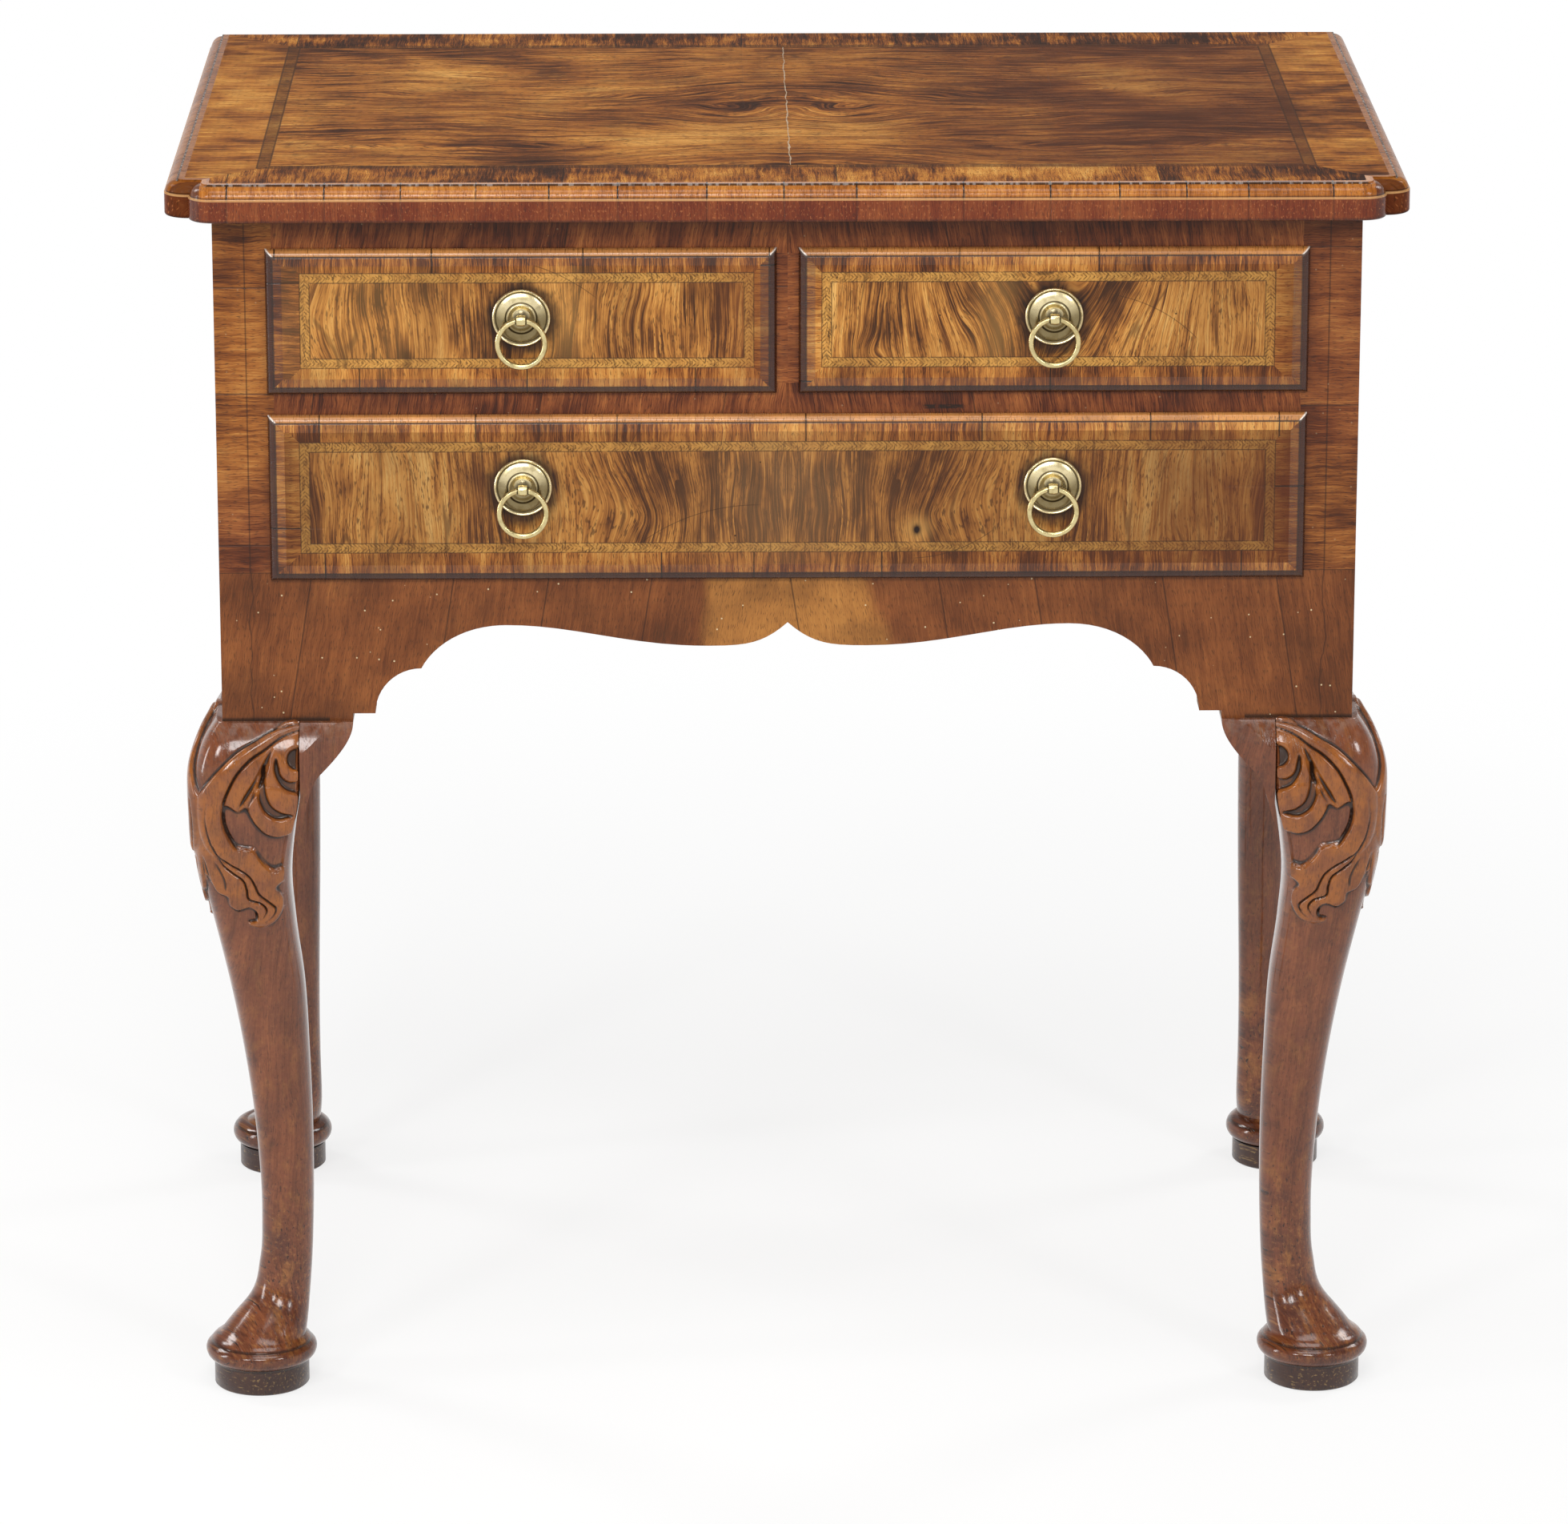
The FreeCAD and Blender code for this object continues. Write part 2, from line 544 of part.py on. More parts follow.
def pad_foot(centre_x, centre_y, ring_radius, disc_radius):
    """The rounded ring of the pad and the disc under it, turned about an upright axis."""
    half = FOOT_RING_THICKNESS / 2
    core = ring_radius - half
    top = FOOT_RING_HEIGHT + half
    bottom = FOOT_RING_HEIGHT - half
    edges = [
        Part.makeLine(V(0, 0, 0), V(disc_radius - FOOT_DISC_CHAMFER, 0, 0)),
        Part.makeLine(V(disc_radius - FOOT_DISC_CHAMFER, 0, 0), V(disc_radius, 0, FOOT_DISC_CHAMFER)),
        Part.makeLine(V(disc_radius, 0, FOOT_DISC_CHAMFER), V(disc_radius, 0, bottom)),
        Part.makeLine(V(disc_radius, 0, bottom), V(core, 0, bottom)),
        Part.Arc(V(core, 0, bottom), V(ring_radius, 0, FOOT_RING_HEIGHT), V(core, 0, top)).toShape(),
        Part.makeLine(V(core, 0, top), V(0, 0, top)),
        Part.makeLine(V(0, 0, top), V(0, 0, 0)),
    ]
    face = Part.Face(Part.Wire(edges))
    foot = face.revolve(V(0, 0, 0), V(0, 0, 1), 360)
    foot.translate(V(centre_x, centre_y, 0))
    return foot


def front_leg():
    """The right front cabriole leg, with the square post that is glued inside the case corner."""
    sections = []
    for z, outer, inner, arris_squareness, squareness in cabriole_stations():
        middle = (outer + inner) / 2
        half = (inner - outer) / 2
        sections.append(leg_section(CASE_HALF_WIDTH - middle, CASE_FRONT_Y + middle,
                                    half, z, arris_squareness, squareness))
    shaft = Part.makeLoft(sections, True, False)
    foot = pad_foot(CASE_HALF_WIDTH - FOOT_INSET, CASE_FRONT_Y + FOOT_INSET,
                    FOOT_RING_RADIUS, FOOT_DISC_RADIUS)
    post = block((CASE_HALF_WIDTH - KNEE_BLOCK, SIDE_INNER_X), (FRAME_BACK_Y, CASE_FRONT_Y + KNEE_BLOCK),
                 (CASE_BOTTOM_Z - KNEE_BLOCK, LEG_POST_TOP_Z))
    return shaft.fuse([foot, post]).removeSplitter()


def rear_leg():
    """The right rear leg: square block and post, turned shaft, pad foot set outwards."""
    block_x = CASE_HALF_WIDTH - REAR_BLOCK / 2
    block_y = CASE_BACK_Y - REAR_BLOCK / 2
    foot_x = block_x + REAR_FOOT_OFFSET
    foot_y = block_y + REAR_FOOT_OFFSET
    half = REAR_BLOCK / 2
    shoulder_z = CASE_BOTTOM_Z - REAR_BLOCK_HEIGHT
    foot_top = FOOT_RING_HEIGHT + FOOT_RING_THICKNESS / 2
    core = REAR_RING_RADIUS - FOOT_RING_THICKNESS / 2
    stations = [
        (shoulder_z, 0.0, half * 0.974, 6.0),
        (shoulder_z - REAR_NECK_HEIGHT, 0.0, REAR_SHAFT_TOP_RADIUS * 1.035, 2.6),
        (shoulder_z * 0.9, 0.0, REAR_SHAFT_TOP_RADIUS, 2.0),
        (shoulder_z * 0.5, 0.0, (REAR_SHAFT_TOP_RADIUS + REAR_ANKLE_RADIUS) / 2, 2.0),
        (foot_top + REAR_FLARE_HEIGHT, 0.0, REAR_ANKLE_RADIUS, 2.0),
        (foot_top + REAR_FLARE_HEIGHT * 0.50, 0.12, REAR_ANKLE_RADIUS * 1.116, 2.0),
        (foot_top + REAR_FLARE_HEIGHT * 0.22, 0.45, REAR_ANKLE_RADIUS * 1.36, 2.0),
        (foot_top - FOOT_SEAT, 1.0, core, 2.0),
    ]
    sections = []
    for z, shift, radius, squareness in stations:
        sections.append(leg_section(block_x + REAR_FOOT_OFFSET * shift,
                                    block_y + REAR_FOOT_OFFSET * shift,
                                    radius, z, squareness, squareness))
    shaft = Part.makeLoft(sections, True, False)
    foot = pad_foot(foot_x, foot_y, REAR_RING_RADIUS, REAR_DISC_RADIUS)
    head = block((CASE_HALF_WIDTH - REAR_BLOCK, CASE_HALF_WIDTH), (CASE_BACK_Y - REAR_BLOCK, CASE_BACK_Y),
                 (shoulder_z, CASE_BOTTOM_Z))
    post = block((CASE_HALF_WIDTH - REAR_BLOCK, SIDE_INNER_X), (CASE_BACK_Y - REAR_BLOCK, BACK_INNER_Y),
                 (CASE_BOTTOM_Z, LEG_POST_TOP_Z))
    return shaft.fuse([foot, head, post]).removeSplitter()


def knee_bracket():
    """The ear beside the right front knee, facing the front; the side one is its diagonal twin.

    Its scrolled outline is cut through in Y, then its face is worked down to follow the knee:
    it swells from the tip towards the leg, and from the case down with the leg's own profile.
    """
    outline = bracket_outline()
    depth = KNEE_BULGE + BRACKET_THICKNESS
    bracket = Part.Face(outline).extrude(V(0, depth, 0))
    bracket.translate(V(0, CASE_FRONT_Y - KNEE_BULGE, 0))
    return bracket.common(bracket_plan()).common(knee_profile())


def bracket_outline():
    top_z = CASE_BOTTOM_Z
    tip = V(BRACKET_TIP_X, 0, top_z)
    waist = V(BRACKET_TIP_X + BRACKET_REACH * 0.62, 0, top_z - BRACKET_DROP * 0.50)
    toe = V(BRACKET_HEAD_X, 0, top_z - BRACKET_DROP)
    head = V(BRACKET_HEAD_X, 0, top_z)
    upper = cubic(tip, tip + V(0.0, 0, -BRACKET_DROP * 0.20),
                  waist - V(BRACKET_REACH * 0.22, 0, -BRACKET_DROP * 0.10), waist)
    lower = cubic(waist, waist + V(BRACKET_REACH * 0.22, 0, -BRACKET_DROP * 0.10),
                  toe + V(-BRACKET_REACH * 0.16, 0, BRACKET_DROP * 0.22), toe)
    return Part.Wire([upper, lower, Part.makeLine(toe, head), Part.makeLine(head, tip)])


def bracket_plan():
    """The bracket seen from above: nearly flush at the tip, swelling to meet the knee."""
    back_y = CASE_FRONT_Y - BRACKET_PROUD + BRACKET_THICKNESS
    foot_z = CASE_BOTTOM_Z - BRACKET_DROP
    tip = V(BRACKET_TIP_X, CASE_FRONT_Y - BRACKET_PROUD, foot_z)
    head = V(BRACKET_HEAD_X, CASE_FRONT_Y - BRACKET_SWELL, foot_z)
    sweep = cubic(tip, tip + V(BRACKET_REACH * 0.45, 0, 0),
                  head - V(BRACKET_REACH * 0.35, -BRACKET_SWELL * 0.12, 0), head)
    head_back = V(BRACKET_HEAD_X, back_y, foot_z)
    tip_back = V(BRACKET_TIP_X, back_y, foot_z)
    wire = Part.Wire([sweep, Part.makeLine(head, head_back), Part.makeLine(head_back, tip_back),
                      Part.makeLine(tip_back, tip)])
    return Part.Face(wire).extrude(V(0, 0, BRACKET_DROP))


def knee_profile():
    """Everything behind the leg's own outer profile, over the height of the bracket."""
    stations = [row for row in cabriole_stations() if row[0] > CASE_BOTTOM_Z - 2 * BRACKET_DROP]
    points = [V(BRACKET_TIP_X, CASE_FRONT_Y + outer, z) for z, outer, *rest in stations]
    curve = Part.BSplineCurve()
    curve.interpolate(points)
    back_y = CASE_FRONT_Y + BRACKET_THICKNESS
    top_back = V(BRACKET_TIP_X, back_y, points[0].z)
    foot_back = V(BRACKET_TIP_X, back_y, points[-1].z)
    wire = Part.Wire([curve.toShape(), Part.makeLine(points[-1], foot_back),
                      Part.makeLine(foot_back, top_back), Part.makeLine(top_back, points[0])])
    return Part.Face(wire).extrude(V(BRACKET_REACH, 0, 0))


def diagonal_twin(shape):
    """Mirror a right front piece in the diagonal plane through the case's right front corner."""
    corner = V(CASE_HALF_WIDTH, CASE_FRONT_Y, 0)
    return shape.mirror(corner, V(1, 1, 0))


# ---------------------------------------------------------------- drawers
def drawer_box(x_range, z_range):
    """The ranges that a drawer's own box fills inside its opening."""
    x0 = min(x_range) + DRAWER_SIDE_GAP
    x1 = max(x_range) - DRAWER_SIDE_GAP
    z0 = min(z_range) + DRAWER_RUN_GAP
    z1 = max(z_range) - DRAWER_TOP_GAP
    return (x0, x1), (z0, z1)


def dovetail_count(z_range):
    """As many tails as come nearest to the pitch on a board of this height."""
    return max(1, round((max(z_range) - min(z_range)) / DOVETAIL_PITCH))


def dovetails(x_range, y_root, length, z_range, count):
    """Tails that widen from their root along Y by the slope; a negative length points to the front."""
    pitch = (max(z_range) - min(z_range)) / count
    root = pitch * DOVETAIL_FILL / 2
    tip = root + abs(length) * DOVETAIL_SLOPE
    tails = []
    for index in range(count):
        middle = min(z_range) + pitch * (index + 0.5)
        x = min(x_range)
        outline = [V(x, y_root, middle - root), V(x, y_root + length, middle - tip),
                   V(x, y_root + length, middle + tip), V(x, y_root, middle + root)]
        tails.append(prism(outline, V(max(x_range) - x, 0, 0)))
    return tails


def drawer_bottom(x_range, z_range):
    floor_z = min(z_range) + DRAWER_BOTTOM_RISE
    inner = (min(x_range) + DRAWER_SIDE_THICKNESS, max(x_range) - DRAWER_SIDE_THICKNESS)
    return block((inner[0] - DRAWER_GROOVE_DEPTH, inner[1] + DRAWER_GROOVE_DEPTH),
                 (DRAWER_FRONT_BACK_Y - DRAWER_GROOVE_DEPTH, DRAWER_END_Y),
                 (floor_z, floor_z + DRAWER_BOTTOM_THICKNESS))


def drawer_side(x_range, z_range, back_z_range):
    """A side board with lapped tails for the front and through tails for the back."""
    count = dovetail_count(z_range)
    back_y = DRAWER_END_Y - DRAWER_BACK_THICKNESS
    board = block(x_range, (DRAWER_FRONT_BACK_Y, back_y), z_range)
    lapped = dovetails(x_range, DRAWER_FRONT_BACK_Y, DOVETAIL_LAP - DRAWER_FRONT_THICKNESS + LIP_PROUD,
                       z_range, count)
    through = dovetails(x_range, back_y, DRAWER_BACK_THICKNESS, back_z_range, count)
    lower = block(x_range, (back_y, DRAWER_END_Y), (min(z_range), min(back_z_range)))
    return board.fuse(lapped + through + [lower]).removeSplitter()


def lip_section(width):
    """Half-lap strip with a quarter-round outer edge, in X (outwards) and Y (towards the back)."""
    face_y = DRAWER_FACE_Y
    back_y = CASE_FRONT_Y - LIP_SEAT_GAP
    round_y = face_y + LIP_OVERLAP
    lean = LIP_OVERLAP * math.sqrt(0.5)
    outer = width
    centre = V(outer - LIP_OVERLAP, round_y, 0)
    middle = centre + V(lean, -lean, 0)
    edges = [
        Part.makeLine(V(0, back_y, 0), V(0, face_y, 0)),
        Part.makeLine(V(0, face_y, 0), V(outer - LIP_OVERLAP, face_y, 0)),
        Part.Arc(V(outer - LIP_OVERLAP, face_y, 0), middle, V(outer, round_y, 0)).toShape(),
        Part.makeLine(V(outer, round_y, 0), V(outer, back_y, 0)),
        Part.makeLine(V(outer, back_y, 0), V(0, back_y, 0)),
    ]
    return Part.Face(Part.Wire(edges))


def lip_strip(half_length, offset):
    """One mitred strip along Z at +X: offset is from the drawer's middle to the strip's inner edge."""
    section = lip_section(LIP_STRIP_WIDTH)
    section.translate(V(offset, 0, -half_length))
    strip = section.extrude(V(0, 0, 2 * half_length))
    inner_half = half_length - LIP_STRIP_WIDTH
    y0 = DRAWER_FACE_Y - LIP_PROUD
    depth = V(0, 3 * LIP_PROUD, 0)
    outer = offset + LIP_STRIP_WIDTH
    for sign in (1, -1):
        waste = prism([V(offset, y0, sign * inner_half), V(outer, y0, sign * half_length),
                       V(offset, y0, sign * half_length)], depth)
        strip = strip.cut(waste)
    return strip


def drawer_lip(x_range, z_range):
    """Four mitred strips around the drawer's face, standing proud and overlapping the frame."""
    half_x = (max(x_range) - min(x_range)) / 2 + LIP_OVERLAP
    half_z = (max(z_range) - min(z_range)) / 2 + LIP_OVERLAP
    middle = V((x_range[0] + x_range[1]) / 2, 0, (z_range[0] + z_range[1]) / 2)
    upright = lip_strip(half_z, half_x - LIP_STRIP_WIDTH)
    level = lip_strip(half_x, half_z - LIP_STRIP_WIDTH)
    level.rotate(V(0, 0, 0), V(0, 1, 0), -90)
    strips = []
    for strip, turn in ((upright, 0), (upright, 180), (level, 0), (level, 180)):
        copy = strip.copy()
        copy.rotate(V(0, 0, 0), V(0, 1, 0), turn)
        copy.translate(middle)
        strips.append(copy)
    return Part.makeCompound(strips)


def drawer_front(x_range, z_range, sides, bottom, handles):
    """The front board: rebated for the lip strips, socketed for the tails, grooved and drilled."""
    board = block(x_range, (DRAWER_FACE_Y, DRAWER_FRONT_BACK_Y), z_range)
    rebate_back = CASE_FRONT_Y - LIP_SEAT_GAP
    inset = LIP_STRIP_WIDTH - LIP_OVERLAP
    ring_outer = block((x_range[0] - LIP_OVERLAP, x_range[1] + LIP_OVERLAP), (DRAWER_FACE_Y, rebate_back),
                       (z_range[0] - LIP_OVERLAP, z_range[1] + LIP_OVERLAP))
    field = block((x_range[0] + inset, x_range[1] - inset), (DRAWER_FACE_Y, rebate_back),
                  (z_range[0] + inset, z_range[1] - inset))
    board = board.cut(ring_outer.cut(field))
    board = board.cut(sides + [bottom])
    drills = [Part.makeCylinder(POST_RADIUS + DRILL_CLEARANCE, 2 * DRAWER_FRONT_THICKNESS,
                                V(x, DRAWER_FACE_Y - PLATE_THICKNESS, z), V(0, 1, 0)) for x, z in handles]
    return board.cut(drills)


def drawer_back(x_range, z_range, sides, bottom_top_z):
    back_y = DRAWER_END_Y - DRAWER_BACK_THICKNESS
    board = block(x_range, (back_y, DRAWER_END_Y), (bottom_top_z, max(z_range) - DRAWER_BACK_DROP))
    return board.cut(sides)


def make_drawer(name, opening_x, opening_z, handles):
    """Build and write the six pieces of one drawer."""
    x_range, z_range = drawer_box(opening_x, opening_z)
    bottom = drawer_bottom(x_range, z_range)
    bottom_top_z = min(z_range) + DRAWER_BOTTOM_RISE + DRAWER_BOTTOM_THICKNESS
    back_z_range = (bottom_top_z, max(z_range) - DRAWER_BACK_DROP)
    left_x = (x_range[0], x_range[0] + DRAWER_SIDE_THICKNESS)
    right_x = (x_range[1] - DRAWER_SIDE_THICKNESS, x_range[1])
    sides = []
    for side_x in (left_x, right_x):
        side = drawer_side(side_x, z_range, back_z_range)
        sides.append(side.cut(bottom))
    save(name + "_front", drawer_front(x_range, z_range, sides, bottom, handles))
    save(name + "_lip", drawer_lip(x_range, z_range))
    save(name + "_side_left", sides[0])
    save(name + "_side_right", sides[1])
    save(name + "_back", drawer_back(x_range, z_range, sides, bottom_top_z))
    save(name + "_bottom", bottom)


# ---------------------------------------------------------------- handles
def backplate():
    """A round dished plate with a beaded rim and a raised boss, turned about the Y axis."""
    face_y = -PLATE_THICKNESS
    rim = PLATE_RADIUS - PLATE_RIM_RADIUS
    hole = POST_RADIUS + DRILL_CLEARANCE
    bead_front = V(rim, -2 * PLATE_RIM_RADIUS, 0)
    dish_start = V(rim - PLATE_RIM_RADIUS, face_y, 0)
    boss_foot = V(PLATE_BOSS_RADIUS + PLATE_BOSS_SLOPE, face_y, 0)
    boss_side = V(PLATE_BOSS_RADIUS, face_y - PLATE_BOSS_HEIGHT * 0.25, 0)
    boss_top = V(PLATE_BOSS_RADIUS * 0.55, -PLATE_BOSS_HEIGHT, 0)
    boss_middle = V(PLATE_BOSS_RADIUS * 0.86, -PLATE_BOSS_HEIGHT * 0.86, 0)
    edges = [
        Part.makeLine(V(hole, 0, 0), V(PLATE_RADIUS, 0, 0)),
        Part.makeLine(V(PLATE_RADIUS, 0, 0), V(PLATE_RADIUS, -PLATE_RIM_RADIUS, 0)),
        Part.Arc(V(PLATE_RADIUS, -PLATE_RIM_RADIUS, 0), bead_front, dish_start).toShape(),
        Part.makeLine(dish_start, boss_foot),
        Part.makeLine(boss_foot, boss_side),
        Part.Arc(boss_side, boss_middle, boss_top).toShape(),
        Part.makeLine(boss_top, V(hole, -PLATE_BOSS_HEIGHT, 0)),
        Part.makeLine(V(hole, -PLATE_BOSS_HEIGHT, 0), V(hole, 0, 0)),
    ]
    face = Part.Face(Part.Wire(edges))
    return face.revolve(V(0, 0, 0), V(0, 1, 0), 360)


def post():
    """The post with its eye for the ring; behind the drawer front it takes a square nut."""
    tail_y = DRAWER_FRONT_THICKNESS + NUT_THICKNESS + POST_TAIL
    shank = Part.makeCylinder(POST_RADIUS, tail_y + POST_REACH, V(0, -POST_REACH, 0), V(0, 1, 0))
    eye = Part.makeCylinder(EYE_RADIUS, EYE_WIDTH, V(-EYE_WIDTH / 2, -POST_REACH, 0), V(1, 0, 0))
    hole = Part.makeCylinder(EYE_HOLE_RADIUS, 3 * EYE_WIDTH, V(-1.5 * EYE_WIDTH, -POST_REACH, 0), V(1, 0, 0))
    return shank.fuse(eye).removeSplitter().cut(hole)


def nut():
    half = NUT_WIDTH / 2
    y_range = (DRAWER_FRONT_THICKNESS, DRAWER_FRONT_THICKNESS + NUT_THICKNESS)
    hole = Part.makeCylinder(POST_RADIUS + DRILL_CLEARANCE, 2 * NUT_THICKNESS,
                             V(0, y_range[0] - NUT_THICKNESS / 2, 0), V(0, 1, 0))
    return block((-half, half), y_range, (-half, half)).cut(hole)


def ring():
    """The ring hangs from the eye, its plane upright."""
    centre = V(0, -POST_REACH, -RING_MEAN_RADIUS)
    return Part.makeTorus(RING_MEAN_RADIUS, RING_WIRE_RADIUS, centre, V(0, 1, 0))


def make_handle(name, x, z):
    """Build and write the three nodes of one handle, centred at x and z on the drawer's face."""
    place = V(x, DRAWER_FACE_Y, z)
    for part_name, shape in (("backplate", backplate()), ("post", Part.makeCompound([post(), nut()])),
                             ("ring", ring())):
        shape.translate(place)
        save(name + "_" + part_name, shape)


# ---------------------------------------------------------------- assembly
def build_carcase():
    screws = screw_places()
    top_rail = rail(OPENING_HALF_WIDTH, (UPPER_OPENING_TOP_Z, CASE_TOP_Z))
    middle_rail = rail(OPENING_HALF_WIDTH, (LOWER_OPENING_TOP_Z, UPPER_OPENING_BOTTOM_Z))
    apron_board = apron()
    upright = divider()
    split_z = CASE_BOTTOM_Z + LOWER_BACK_BOARD_HEIGHT
    moulding_left = left_side_moulding()
    save("top_panel", top_panel(screws))
    save("top_moulding_front", front_moulding())
    save("top_moulding_left", moulding_left)
    save("top_moulding_right", mirror_x(moulding_left))
    save("top_screws", Part.makeCompound([screw_solid(x, y, 0.0) for x, y in screws]))
    save_pair("case_side", case_side())
    save("back_board_lower", back_board((CASE_BOTTOM_Z, split_z)))
    save("back_board_upper", back_board((split_z, CASE_TOP_Z)))
    save_pair("front_stile", stile([top_rail, middle_rail, apron_board]))
    save("top_rail", top_rail.cut(upright))
    save("middle_rail", middle_rail.cut(upright))
    save("drawer_divider", upright)
    save("apron", apron_board)
    save("lower_runners", runner_pair(LOWER_OPENING_BOTTOM_Z))
    save("upper_runners", runner_pair(UPPER_OPENING_BOTTOM_Z))
    save("centre_runner", centre_runner())
    save("drawer_guides", drawer_guides())
    save("kickers", kickers(screws))
    save("glue_blocks", glue_blocks())


def build_legs():
    leg = front_leg()
    bracket = knee_bracket()
    save_pair("front_leg", leg)
    save_pair("rear_leg", rear_leg())
    save_pair("knee_bracket_front", bracket.cut(leg))
    save_pair("knee_bracket_side", diagonal_twin(bracket).cut(leg))


def build_drawers():
    half_divider = DIVIDER_WIDTH / 2
    upper_z = (UPPER_OPENING_BOTTOM_Z, UPPER_OPENING_TOP_Z)
    lower_z = (LOWER_OPENING_BOTTOM_Z, LOWER_OPENING_TOP_Z)
    handle_x = (half_divider + OPENING_HALF_WIDTH) / 2
    upper_handle_z = sum(upper_z) / 2 + UPPER_HANDLE_RISE
    long_handle_z = sum(lower_z) / 2 + LONG_HANDLE_RISE
    make_drawer("left_drawer", (-OPENING_HALF_WIDTH, -half_divider), upper_z,
                [(-handle_x, upper_handle_z)])
    make_drawer("right_drawer", (half_divider, OPENING_HALF_WIDTH), upper_z,
                [(handle_x, upper_handle_z)])
    make_drawer("long_drawer", (-OPENING_HALF_WIDTH, OPENING_HALF_WIDTH), lower_z,
                [(-handle_x, long_handle_z), (handle_x, long_handle_z)])
    make_handle("left_drawer", -handle_x, upper_handle_z)
    make_handle("right_drawer", handle_x, upper_handle_z)
    make_handle("long_drawer_left", -handle_x, long_handle_z)
    make_handle("long_drawer_right", handle_x, long_handle_z)


os.makedirs("parts", exist_ok=True)
build_carcase()
build_legs()
build_drawers()
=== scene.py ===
# %% [markdown]
# # A walnut lowboy
# A lowboy is a dressing table on four legs: a veneered case with two short drawers over a long
# one, a shaped apron, carved cabriole legs in front and plain turned legs behind. The packed
# model holds every part at its real size, so this lesson only dresses it: it gives each part
# the timber it is made of, carves the knees, and sets up a small studio around it.

import functools
import math

import bmesh
import bpy
import numpy as np
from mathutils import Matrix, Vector


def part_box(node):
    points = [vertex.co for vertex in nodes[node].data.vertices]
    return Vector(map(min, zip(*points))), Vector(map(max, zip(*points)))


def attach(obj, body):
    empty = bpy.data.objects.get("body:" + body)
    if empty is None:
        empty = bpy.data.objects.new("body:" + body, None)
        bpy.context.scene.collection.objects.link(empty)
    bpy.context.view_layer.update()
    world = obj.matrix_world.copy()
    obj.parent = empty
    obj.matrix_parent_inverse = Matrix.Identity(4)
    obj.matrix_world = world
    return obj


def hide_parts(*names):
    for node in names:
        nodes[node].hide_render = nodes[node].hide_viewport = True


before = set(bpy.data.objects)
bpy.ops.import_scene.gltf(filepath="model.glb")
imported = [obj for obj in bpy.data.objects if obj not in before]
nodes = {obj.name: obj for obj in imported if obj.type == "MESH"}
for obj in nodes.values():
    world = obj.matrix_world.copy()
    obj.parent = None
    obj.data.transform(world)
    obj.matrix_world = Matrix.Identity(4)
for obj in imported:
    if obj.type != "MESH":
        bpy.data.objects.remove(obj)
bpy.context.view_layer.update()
MM = 0.001

# %% [markdown]
# ## Sizes taken from the model
# The veneer patterns below are laid out in millimetres, like a real veneer drawing. Their
# frames are read from the parts themselves, so a pattern follows its part when that is resized.

# %% Read the main sizes in millimetres


def box_mm(name):
    """Lowest and highest corner of a part in millimetres."""
    return [Vector(corner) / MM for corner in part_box(name)]


side_low, side_high = box_mm("case_side_right")
CASE_HALF_WIDTH, CASE_FRONT_Y, CASE_BOTTOM_Z = side_high.x, side_low.y, side_low.z
TOP_Z = box_mm("top_moulding_front")[1].z
OPENING_HALF_WIDTH = box_mm("front_stile_right")[0].x
APRON_TOP_Z = box_mm("apron")[1].z
SIDE_INNER_X = 310.5
print("case half width", round(CASE_HALF_WIDTH, 1), "front", round(CASE_FRONT_Y, 1),
      "bottom", round(CASE_BOTTOM_Z, 1), "top", round(TOP_Z, 1))

# %% [markdown]
# ## The camera
# The lowboy is seen almost square on, from a little above the top, with a long lens from over
# four metres away. A long lens keeps the legs nearly parallel, as furniture is usually shown.

# %% Set up the camera
CAMERA_PLACE = (-0.05514, -4.3691, 1.6058)
CAMERA_PITCH = math.radians(16.31)
CAMERA_YAW = math.radians(0.73)


def show(name, data):
    """A new object in the scene, at the origin."""
    thing = bpy.data.objects.new(name, data)
    bpy.context.scene.collection.objects.link(thing)
    return thing


camera_data = bpy.data.cameras.new("studio_camera")
camera_data.lens = 170.85
camera_data.sensor_width = 36.0
camera_data.clip_end = 60.0
camera = show("studio_camera", camera_data)
camera.location = CAMERA_PLACE
camera.rotation_euler = (math.pi / 2 - CAMERA_PITCH, 0.0, -CAMERA_YAW)
bpy.context.scene.camera = camera
print("lens", camera_data.lens, "mm")

# %% [markdown]
# ## One way to write a node tree
# Every finish here is a small network of nodes. `colour` turns the hex value that a paint chart
# would print into the linear colour that light needs. `add` puts one node into a tree and wires
# its inputs. `Number` lets the arithmetic of a pattern be written as plain sums: each sign adds
# one Math node, and `|` takes the larger of two, which joins two masks.

# %% Helpers for colours and nodes


def colour(text):
    """An sRGB hex colour such as '#8B5A2B' as linear red, green, blue and alpha."""
    channels = [int(text[place:place + 2], 16) / 255 for place in (1, 3, 5)]
    linear = [c / 12.92 if c <= 0.04045 else ((c + 0.055) / 1.055) ** 2.4 for c in channels]
    return (*linear, 1.0)


def wire(tree, value, socket):
    """Links a number, a node or a socket to a socket, or sets a value or a hex colour on it."""
    if isinstance(value, Number):
        value = value.socket
    if isinstance(value, bpy.types.Node):
        value = next(s for s in value.outputs if s.enabled)
    if isinstance(value, bpy.types.NodeSocket):
        tree.links.new(value, socket)
    else:
        socket.default_value = colour(value) if isinstance(value, str) else value


def add(tree, kind, wires=None, **settings):
    """Adds a node with its settings. Wires are its inputs by name or number."""
    node = tree.nodes.new(kind)
    for name, value in settings.items():
        setattr(node, name, value)
    for place, value in (wires or {}).items():
        named = (s for s in node.inputs if s.enabled and s.name == place)
        wire(tree, value, node.inputs[place] if isinstance(place, int) else next(named))
    return node


def number(tree, kind, wires, **settings):
    """Adds a node and takes its first output as a number."""
    return Number(tree, add(tree, kind, wires, **settings).outputs[0])


